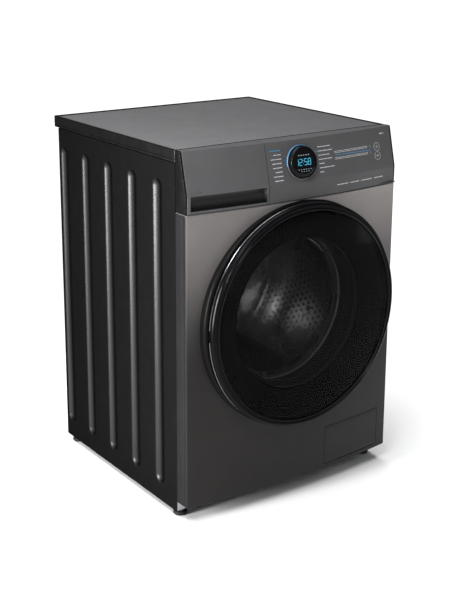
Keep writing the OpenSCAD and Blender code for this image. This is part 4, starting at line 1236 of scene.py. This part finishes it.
def back_holes():
    """Pressed holes of the drum's back: a ring of them and a small triangle of arcs about the middle."""
    verts, faces = [], []

    def dot(x, z, y, r):
        base = len(verts)
        n = 12
        for rr, dy in ((r, 0.0), (r, -0.0006), (r * 0.8, -0.0006), (r * 0.72, 0.0002)):
            for k in range(n):
                a = 2 * math.pi * k / n
                verts.append((x + rr * math.cos(a), y + dy, z + rr * math.sin(a)))
        for level in range(3):
            faces.extend(band(base + level * n, base + (level + 1) * n, n))
        faces.append(tuple(base + 3 * n + k for k in range(n)))

    for ring_r, count, shift in ((0.100, 36, 0), (0.086, 30, 0.5), (0.060, 18, 0), (0.046, 12, 0.5)):
        for k in range(count):
            a = 2 * math.pi * (k + shift) / count
            if ring_r < 0.07 and math.cos(3 * a) < -0.25:
                continue
            dot(ring_r * math.cos(a), AXIS_Z + ring_r * math.sin(a), 0.1322, 0.0030)
    for ring_r, count in ((0.172, 60), (0.186, 64), (0.200, 70)):
        for k in range(count):
            a = 2 * math.pi * (k + (0.5 if ring_r == 0.186 else 0)) / count
            if math.cos(3 * (a + 0.3)) < 0.35:
                dot(ring_r * math.cos(a), AXIS_Z + ring_r * math.sin(a), 0.1486, 0.0030)
    # the holes are not cut through: dark cups stand in for the shade seen through them
    return mesh_piece("drum_back_holes", verts, faces, "drum", "mark_dark", "stainless", 30.0)


back_holes()


LIFTER_Y0, LIFTER_Y1 = -0.1795, 0.1295


def lifter(index, angle):
    """One lifter: a waisted hollow blade with ribs across its flanks."""

    def place(r, h, y):
        turned = math.atan2(h, r) + angle
        r = math.hypot(r, h)
        return (r * math.cos(turned), y, AXIS_Z + r * math.sin(turned))

    verts = []
    ys = [LIFTER_Y0, -0.1770, -0.1700, -0.1500] + [-0.1500 + 0.2500 * k / 20 for k in range(1, 21)]
    ys += [0.1180, 0.1270, LIFTER_Y1]
    for y in ys:
        rise = smooth_step(0.0, 0.030, min(y - LIFTER_Y0, LIFTER_Y1 - y))
        crest = DRUM_R - 0.020 - 0.0545 * rise
        half_top = 0.0070 + 0.0050 * rise
        ripple = 0.0006 * math.sin((y + 0.18) * math.pi / 0.0125)
        top = [(crest + half_top * (1 - math.sin(a)) * 0.8, half_top * math.cos(a))
            for a in (math.pi * k / 8 for k in range(9))]
        flank = [(DRUM_R - 0.050, 0.0127 + ripple), (DRUM_R - 0.030, 0.0175), (DRUM_R - 0.018, 0.0275),
            (DRUM_R - 0.0085, 0.0315)]
        section = flank[::-1] + top + [(r, -h) for r, h in flank]
        for r, h in section:
            s = min(1.0, (DRUM_R - 0.0014) / math.hypot(r, h))
            verts.append(place(r * s, h * s, y))
    blade = mesh_piece("lifter_%d" % index, verts, swept_faces(len(section), len(ys)), "drum", "lifter",
        "dark_plastic", 38.0)
    rib = ((0.062, 0.0128), (0.050, 0.0142), (0.032, 0.0182), (0.032, 0.0170), (0.062, 0.0110))
    parts = []
    for k in range(13):
        y = -0.150 + 0.250 * k / 12
        for side in (1, -1):
            ends = [place(DRUM_R - r, h * side, y + dy) for dy in (-0.0026, 0.0026) for r, h in rib]
            parts.append((ends, swept_faces(len(rib), 2)))
    mesh_piece("lifter_ribs_%d" % index, *gathered(parts), "drum", "lifter", "dark_plastic", 30.0)
    return blade


# three lifters, 120 degrees apart; the first stands 68 degrees below +X
for i in range(3):
    piece = lifter(i, -math.radians(120 * i + 68))
    if i == 0:
        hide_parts("lifters")
lathe("drum_hub", mm([(TIP, 134.1), (36, 134.1), (39, 136), (40, 140), (40, 164), (38.5, 165.8), (20, 166),
    (15.2, 169), (14.9, 170), (14.9, 264), (13.5, 265.8), (TIP, 265.9)]), "drum", "cast", "cast_metal", None,
    0.0, 96, replaces="drum_spider")
for i in range(3):
    f = Matrix.Translation((0, 0, AXIS_Z)) @ rotated(120 * i, "Y")
    outline = mm([(20, -13.8), (60, -13.8), (150, -11), (215, -12), (228, -13.5), (231.8, -11), (231.8, 11),
        (228, 13.5), (215, 12), (150, 11), (60, 13.8), (20, 13.8)])
    verts = [f @ Vector((x, 0.1502, z)) for x, z in outline] + [f
        @ Vector((x, 0.1638 if x < 0.1 else 0.1605, z)) for x, z in outline]
    arm = raw("drum_arm_%d" % i, verts, swept_faces(len(outline), 2))
    dress(bevelled(arm, 0.0016, 3), "drum", "cast")

# ---------------------------------------------------------------- pieces with their CAD form and eased edges

for body, mat, rows in (("cabinet", "zinc", {"rear_panel": 0.0003, "base_frame": 0.0006}),
        ("cabinet", "tray_plastic", {"dispenser_housing": 0.0008}),
        ("drawer", "tray_plastic", {"drawer_tray": 0.0006}), ("cabinet", "white_plastic",
        {"inlet_valve": 0.0006, "door_lock": 0.0010}), ("cabinet", "zinc", {"hinge_bracket": 0.0004}),
        ("cabinet", "white_plastic", {"pump_body": 0.0012}), ("cabinet", "dark_plastic",
        {"drain_pipe": 0.0004, "cord_gland": 0.0006}), ("cabinet", "zinc", {"foot_lock_nuts": 0.0005}),
        ("cabinet", "rubber_grey", {"fill_hose": 0.0004}), ("cabinet", "dark_plastic",
        {"damper_cylinders": 0.0010}), ("tub", "stainless", {"damper_rods": 0.0006}),
        ("filter_cap", "dark_plastic", {"filter_cap": 0.0008}), ("tub", "concrete",
        {"counterweight_front": 0.0025, "counterweight_top": 0.0030}),
        ("tub", "tub_plastic", {"tub_rear": 0.0010, "tub_front": 0.0008}),
        ("tub", "stainless", {"bearings": 0.0008}), ("tub", "motor", {"motor": 0.0020}),
        ("tub", "stainless", {"heater": 0.0004}), ("drum", "cast", {"drum_pulley": 0.0008}),
        ("cabinet", "board", {"display_board": 0.0002})):
    for node, width in rows.items():
        from_cad(node, mat, width, body)

# ---------------------------------------------------------------- rear of the cabinet

CB = CABINET_BACK
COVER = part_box("rear_service_cover")


def stacked(n, levels):
    """Faces of stacked rings of n points with a lid on the last."""
    faces = [f for i in range(levels - 1) for f in band(i * n, (i + 1) * n, n)]
    return faces + [tuple((levels - 1) * n + k for k in range(n))]


def pressed(name, rings):
    """A closed pressing of the rear sheets through equal rings."""
    n = len(rings[0])
    faces = stacked(n, len(rings)) + [tuple(range(n))[::-1]]
    mesh_piece(name, [p for ring in rings for p in ring], faces, "cabinet", "zinc", "zinc_steel", 30.0)


def cover_form():
    """Rear service cover: a flat border with a raised, rounded middle."""
    y0, y1, y2 = COVER[0].y, COVER[0].y + SHEET, COVER[1].y
    (x0, z0), (x1, z1) = (COVER[0].x, COVER[0].z), (COVER[1].x, COVER[1].z)
    cx, cz = (x0 + x1) / 2, (z0 + z1) / 2

    def loop(hw, hh, r):
        return [(cx + a, cz + b) for a, b in rounded_rect(2 * hw, 2 * hh, r, 8)]

    w, h = (x1 - x0) / 2, (z1 - z0) / 2
    outer = [(loop(w, h, 0.012), y0), (loop(w, h, 0.012), y1), (loop(0.1662, 0.2537 + 0.0002, 0.018), y1),
        (loop(0.1652, 0.2525, 0.0178), y1 + 0.0008), (loop(0.1635, 0.2508, 0.0165), y2 - 0.0012),
        (loop(0.1622, 0.2495, 0.0155), y2 - 0.0003), (loop(0.1608, 0.2481, 0.0145), y2)]
    n = len(outer[0][0])
    faces = stacked(n, len(outer))
    inner = [(loop(0.1596, 0.2469, 0.0135), y2 - SHEET), (loop(0.1640, 0.2513, 0.0165), y0)]
    base = len(outer) * n
    verts = [(x, y, z) for pts, y in outer + inner for x, z in pts]
    faces += [tuple(base + k for k in range(n))[::-1]] + band(base, base + n, n) + band(base + n, 0, n)
    return mesh_piece("rear_cover_form", verts, faces, "cabinet", "zinc", "zinc_steel", 32.0,
        "rear_service_cover")


cover_form()
for i in range(5):
    z = 0.195 + i * 0.078
    outline = rounded_rect(2 * (0.105 - abs(i - 2) * 0.004), 0.020, 0.0098, 8)
    pressed("rear_cover_rib_%d" % i, [[(a * wide, COVER[1].y + out, z + b * high) for a, b in outline] for wide,
        high, out in ((1.0, 1.0, -0.0004), (0.985, 0.86, 0.0011), (0.96, 0.60, 0.0018))])
# pressed ridges beside the cover
for sign, tag in ((-1, "left"), (1, "right")):
    for i, (z0, z1) in enumerate(((0.150, 0.270), (0.330, 0.570), (0.630, 0.670))):
        x, z = 0.258 * sign, (z0 + z1) / 2
        outline = rounded_rect(0.018, z1 - z0, 0.0085, 6)
        pressed("rear_ridge_%s_%d" % (tag, i), [[(x + a * s, CB - SHEET + out, z + b * (1 - (1 - s) * 0.12))
            for a, b in outline] for s, out in ((1.0, -0.0002), (0.82, 0.0016), (0.55, 0.0022))])


def pan_screw(name, x, y, z, replaces=None):
    """Screw with a domed head and a cross slot."""
    r, h = 0.004, 0.0024
    f = Matrix.Translation((x, y, z)) @ rotated(-90, "X")
    profile = mm([(TIP, -9.8), (1.2, -9.8), (1.9, -8.5)])
    for k in range(5):
        profile += [(0.0019, -0.0080 + k * 0.0016), (0.0016, -0.0072 + k * 0.0016)]
    profile += [(0.0019, -0.0002), (r, -0.00005), (r, h * 0.25), (r * 0.94, h * 0.62), (r * 0.74, h * 0.9),
        (r * 0.4, h), (TIP / 1000, h)]
    ob = raw(name, *lathe_mesh(profile, f, 32))
    for turn in (0, 90):
        tool = raw("tool_slot", *prism_raw(rect(0.0048, 0.0009), f @ rotated(turn, "Z")
            @ Matrix.Translation((0, 0, h - 0.0011)), 0.003))
        cut(ob, tool)
    return dress(ob, "cabinet", "zinc", 35.0, replaces)


for sx, tag in ((-1, "l"), (1, "r")):
    for z in (0.080, 0.260, 0.440, 0.620):
        first = (tag, z) == ("l", 0.080)
        pan_screw("rear_screw_%s_%d" % (tag, int(z * 1000)), sx * 0.180, CB, z,
            "case_screws" if first else None)
for sx, tag in ((-1, "l"), (1, "r")):
    for z in (0.300, 0.600):
        first = (tag, z) == ("l", 0.300)
        f = Matrix.Translation((sx * 0.235, CB, z)) @ rotated(-90, "X")
        lathe("transit_cap_%s_%d" % (tag, int(z * 1000)), mm([(TIP, -13.8), (9.5, -13.8), (11.2, -12),
            (11.7, -6), (11.2, -4), (11.8, -1.2), (16.8, -1.2), (17, 0.6), (16.6, 1.9), (15.5, 2.8), (12, 2.8),
            (10.8, 2), (5, 1.8), (TIP, 1.8)]), "cabinet", "dark_plastic", "dark_plastic", f, 0.0, 64,
            replaces="transit_caps" if first else None)

# thread on the inlet
valve = Matrix.Translation((-0.200, 0, 0.790)) @ rotated(-90, "X")
verts, faces = [], []
turns, per, pitch = 7, 40, 0.0018
y0 = CB + 0.0030
for i in range(turns * per + 1):
    a = 2 * math.pi * i / per
    y = y0 + pitch * i / per
    fade = min(1.0, i / 14, (turns * per - i) / 14)
    for r, dy in ((0.0121, -0.00080), (0.0121 + 0.00108 * fade, -0.00016), (0.0121 + 0.00108 * fade, 0.00016),
            (0.0121, 0.00080)):
        verts.append(valve @ Vector((r * math.cos(a), r * math.sin(a), y + dy)))
for i in range(turns * per):
    faces += band(4 * i, 4 * i + 4, 4)
faces += [(3, 2, 1, 0), tuple(4 * turns * per + k for k in range(4))]
mesh_piece("inlet_thread", verts, faces, "cabinet", "white_plastic", "white_plastic", 30.0)

# ---------------------------------------------------------------- feet


def foot_form(name, x, y):
    """Foot: a ribbed pad with a hexagon and a threaded stem."""
    f = Matrix.Translation((x, y, 0))
    lathe(name + "_pad", mm([(TIP, 0), (13.8, 0), (15.2, 0.8), (16, 2.2), (16, 3.6), (15.5, 4.2), (16, 4.8),
        (16, 6.6), (15.3, 8), (12.8, 9.2), (9, 9.8), (TIP, 9.8)]), name, "rubber_black", "rubber_black", f,
        0.0, 72, replaces=name)
    profile = [(TIP / 1000, 0.0092), (0.0046, 0.0092)]
    z = 0.0100
    while z < 0.0368:
        profile += [(0.0049, z), (0.0044, z + 0.0006)]
        z += 0.00125
    profile += mm([(4.4, 37.4), (3.8, 38), (TIP, 38)])
    lathe(name + "_stem", profile, name, "zinc", "rubber_black", f, 0.0, 48)
    hexagon = [(0.0082 * math.cos(math.radians(60 * k + 30)), 0.0082 * math.sin(math.radians(60 * k + 30)))
        for k in range(6)]
    ob = raw(name + "_hexagon", *prism_raw(fillet(hexagon, 0.0008, 3), f @ Matrix.Translation((0, 0, 0.0088)),
        0.0016))
    dress(bevelled(ob, 0.0003, 2), name, "zinc")


for name in ("foot_front_left", "foot_front_right", "foot_back_left", "foot_back_right"):
    a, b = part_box(name)
    foot_form(name, (a.x + b.x) / 2, (a.y + b.y) / 2)

# ---------------------------------------------------------------- tub, springs, motor and drive details

TUB_R = 0.266
for i, y in enumerate((-0.180, -0.140, -0.100, -0.060)):
    high = 0.0012 if i == 3 else 0.0040
    lathe("tub_front_rib_%d" % i, [(TUB_R - 0.0005, y - 0.0016), (TUB_R + high, y - 0.0011),
        (TUB_R + high + 0.0005, y), (TUB_R + high, y + 0.0011), (TUB_R - 0.0005, y + 0.0016)], "tub",
        "tub_plastic", "tub_plastic", None, 0.0, 160)
for i in range(12):
    a = math.radians(15 + 30 * i)
    f = Matrix.Translation((0, 0, AXIS_Z)) @ Matrix.Rotation(a, 4, "Y")
    # the ribs over the motor stop short of the tub's rim
    short = abs(math.degrees(math.atan2(-math.sin(a), math.cos(a))) + 100) < 32
    pts = mm([(45, 189.8), (45, 205), (120, 198.5), (200, 193.5)])
    pts += [(0.215, 0.1898)] if short else [(0.262, 0.1915), (0.262, 0.1898)]
    verts = [f @ Vector((x, y, z)) for z in (-0.0014, 0.0014) for x, y in pts]
    ob = raw("tub_back_rib_%d" % i, verts, swept_faces(len(pts), 2))
    dress(bevelled(ob, 0.0005, 2), "tub", "tub_plastic")
for i in range(10):
    a = math.radians(18 + 36 * i)
    c, s = (TUB_R + 0.0052) * math.cos(a), (TUB_R + 0.0052) * math.sin(a)
    f = Matrix.Translation((c, -0.0140, AXIS_Z + s)) @ rotated(90, "X")
    lathe("tub_bolt_%d" % i, mm([(TIP, -1.4), (3.6, -1.4), (3.6, 0), (3.4, 4), (2.8, 4.6), (TIP, 4.6)]),
        "tub", "zinc", "tub_plastic", f @ Matrix.Translation((0, 0, 0.0118 - 0.006)), 0.0, 24)

for sx, tag in ((-1, "left"), (1, "right")):
    verts, faces = [], []
    z0, z1 = (corner.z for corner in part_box("suspension_springs"))
    turns, per, wire, sides = 9, 28, 0.00195, 8
    centre_x, centre_y, coil_r = sx * 0.235, 0.040, 0.010
    steps = turns * per
    for i in range(steps + 1):
        a = 2 * math.pi * i / per
        z = z0 + 0.002 + (z1 - z0 - 0.004) * i / steps
        for k in range(sides):
            w = 2 * math.pi * k / sides
            r = coil_r + wire * math.cos(w)
            verts.append((centre_x + r * math.cos(a), centre_y + r * math.sin(a), z + wire * math.sin(w)))
    for i in range(steps):
        faces += band(sides * i, sides * (i + 1), sides)
    faces += [tuple(range(sides))[::-1], tuple(sides * steps + k for k in range(sides))]
    ob = mesh_piece("hanging_spring_" + tag, verts, faces, None, "zinc", "stainless", 60.0,
        "suspension_springs" if tag == "left" else None)
    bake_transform(ob)

# ---------------------------------------------------------------- camera, floor and light

cam = bpy.data.objects.new("camera", bpy.data.cameras.new("camera"))
scene.collection.objects.link(cam)
scene.camera = cam
cam.data.lens = 70.12
cam.data.sensor_width = 36
cam.data.shift_x = -0.03
cam.data.shift_y = -0.12
cam.data.clip_start = 0.05
cam.data.clip_end = 100
cam.location = (-1.60317, -2.24927, 1.31192)
turn = Matrix.Rotation(math.radians(-36.28), 3, "Z") @ Matrix.Rotation(math.radians(90 - 14.66), 3,
    "X") @ Matrix.Rotation(math.radians(0.48), 3, "Z")
cam.rotation_mode = "QUATERNION"
cam.rotation_quaternion = turn.to_quaternion()

bpy.ops.mesh.primitive_plane_add(size=60, location=(0, 0, 0))
floor = bpy.context.active_object
floor.name = "floor"
floor.data.materials.append(finish("floor", (0.86, 0.86, 0.86), 0.9, spread=0.01, rough_spread=0.02, scale=2.0,
    grain=40, bump=0.01, specular=0.1))
floor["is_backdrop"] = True

world = bpy.data.worlds.new("world")
scene.world = world
world.use_nodes = True
world.node_tree.nodes["Background"].inputs["Color"].default_value = (0.93, 0.95, 1.0, 1)
world.node_tree.nodes["Background"].inputs["Strength"].default_value = 0.16


def aimed(name, data, place, target):
    ob = bpy.data.objects.new(name, data)
    scene.collection.objects.link(ob)
    ob.location = place
    ob.rotation_mode = "QUATERNION"
    ob.rotation_quaternion = (Vector(target) - Vector(place)).to_track_quat("-Z", "Y")
    return ob


def panel(name, place, target, width, height, power, colour=(1, 1, 1)):
    data = bpy.data.lights.new(name, "AREA")
    data.energy = power
    data.color = colour
    data.shape = "RECTANGLE"
    data.size = width
    data.size_y = height
    return aimed(name, data, place, target)


sun = bpy.data.lights.new("overhead", "SUN")
sun.energy = 3.9
sun.angle = math.radians(60)
aimed("overhead", sun, (-0.5, 0.9, 4.0), (0, 0, 0))
panel("front_top_left", (-0.80, -0.85, 1.42), (-0.20, -0.29, 0.72), 0.6, 0.3, 12)
panel("front_top_right", (0.98, -0.80, 0.62), (0.27, -0.28, 0.66), 0.3, 0.3, 1.0)
strip = panel("left", (-2.6, -0.12, 0.70), (-0.3, 0.0, 0.45), 0.40, 1.5, 22)
strip.data.spread = math.radians(60)
inside = bpy.data.lights.new("through_the_door", "SPOT")
inside.energy = 110
inside.spot_size = math.radians(9)
inside.spot_blend = 0.6
inside.shadow_soft_size = 0.10
aimed("through_the_door", inside, (-1.2, -2.5, 1.25), (0.03, -0.15, 0.44))

scene.view_settings.view_transform = "Standard"
scene.view_settings.look = "None"

low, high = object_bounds()
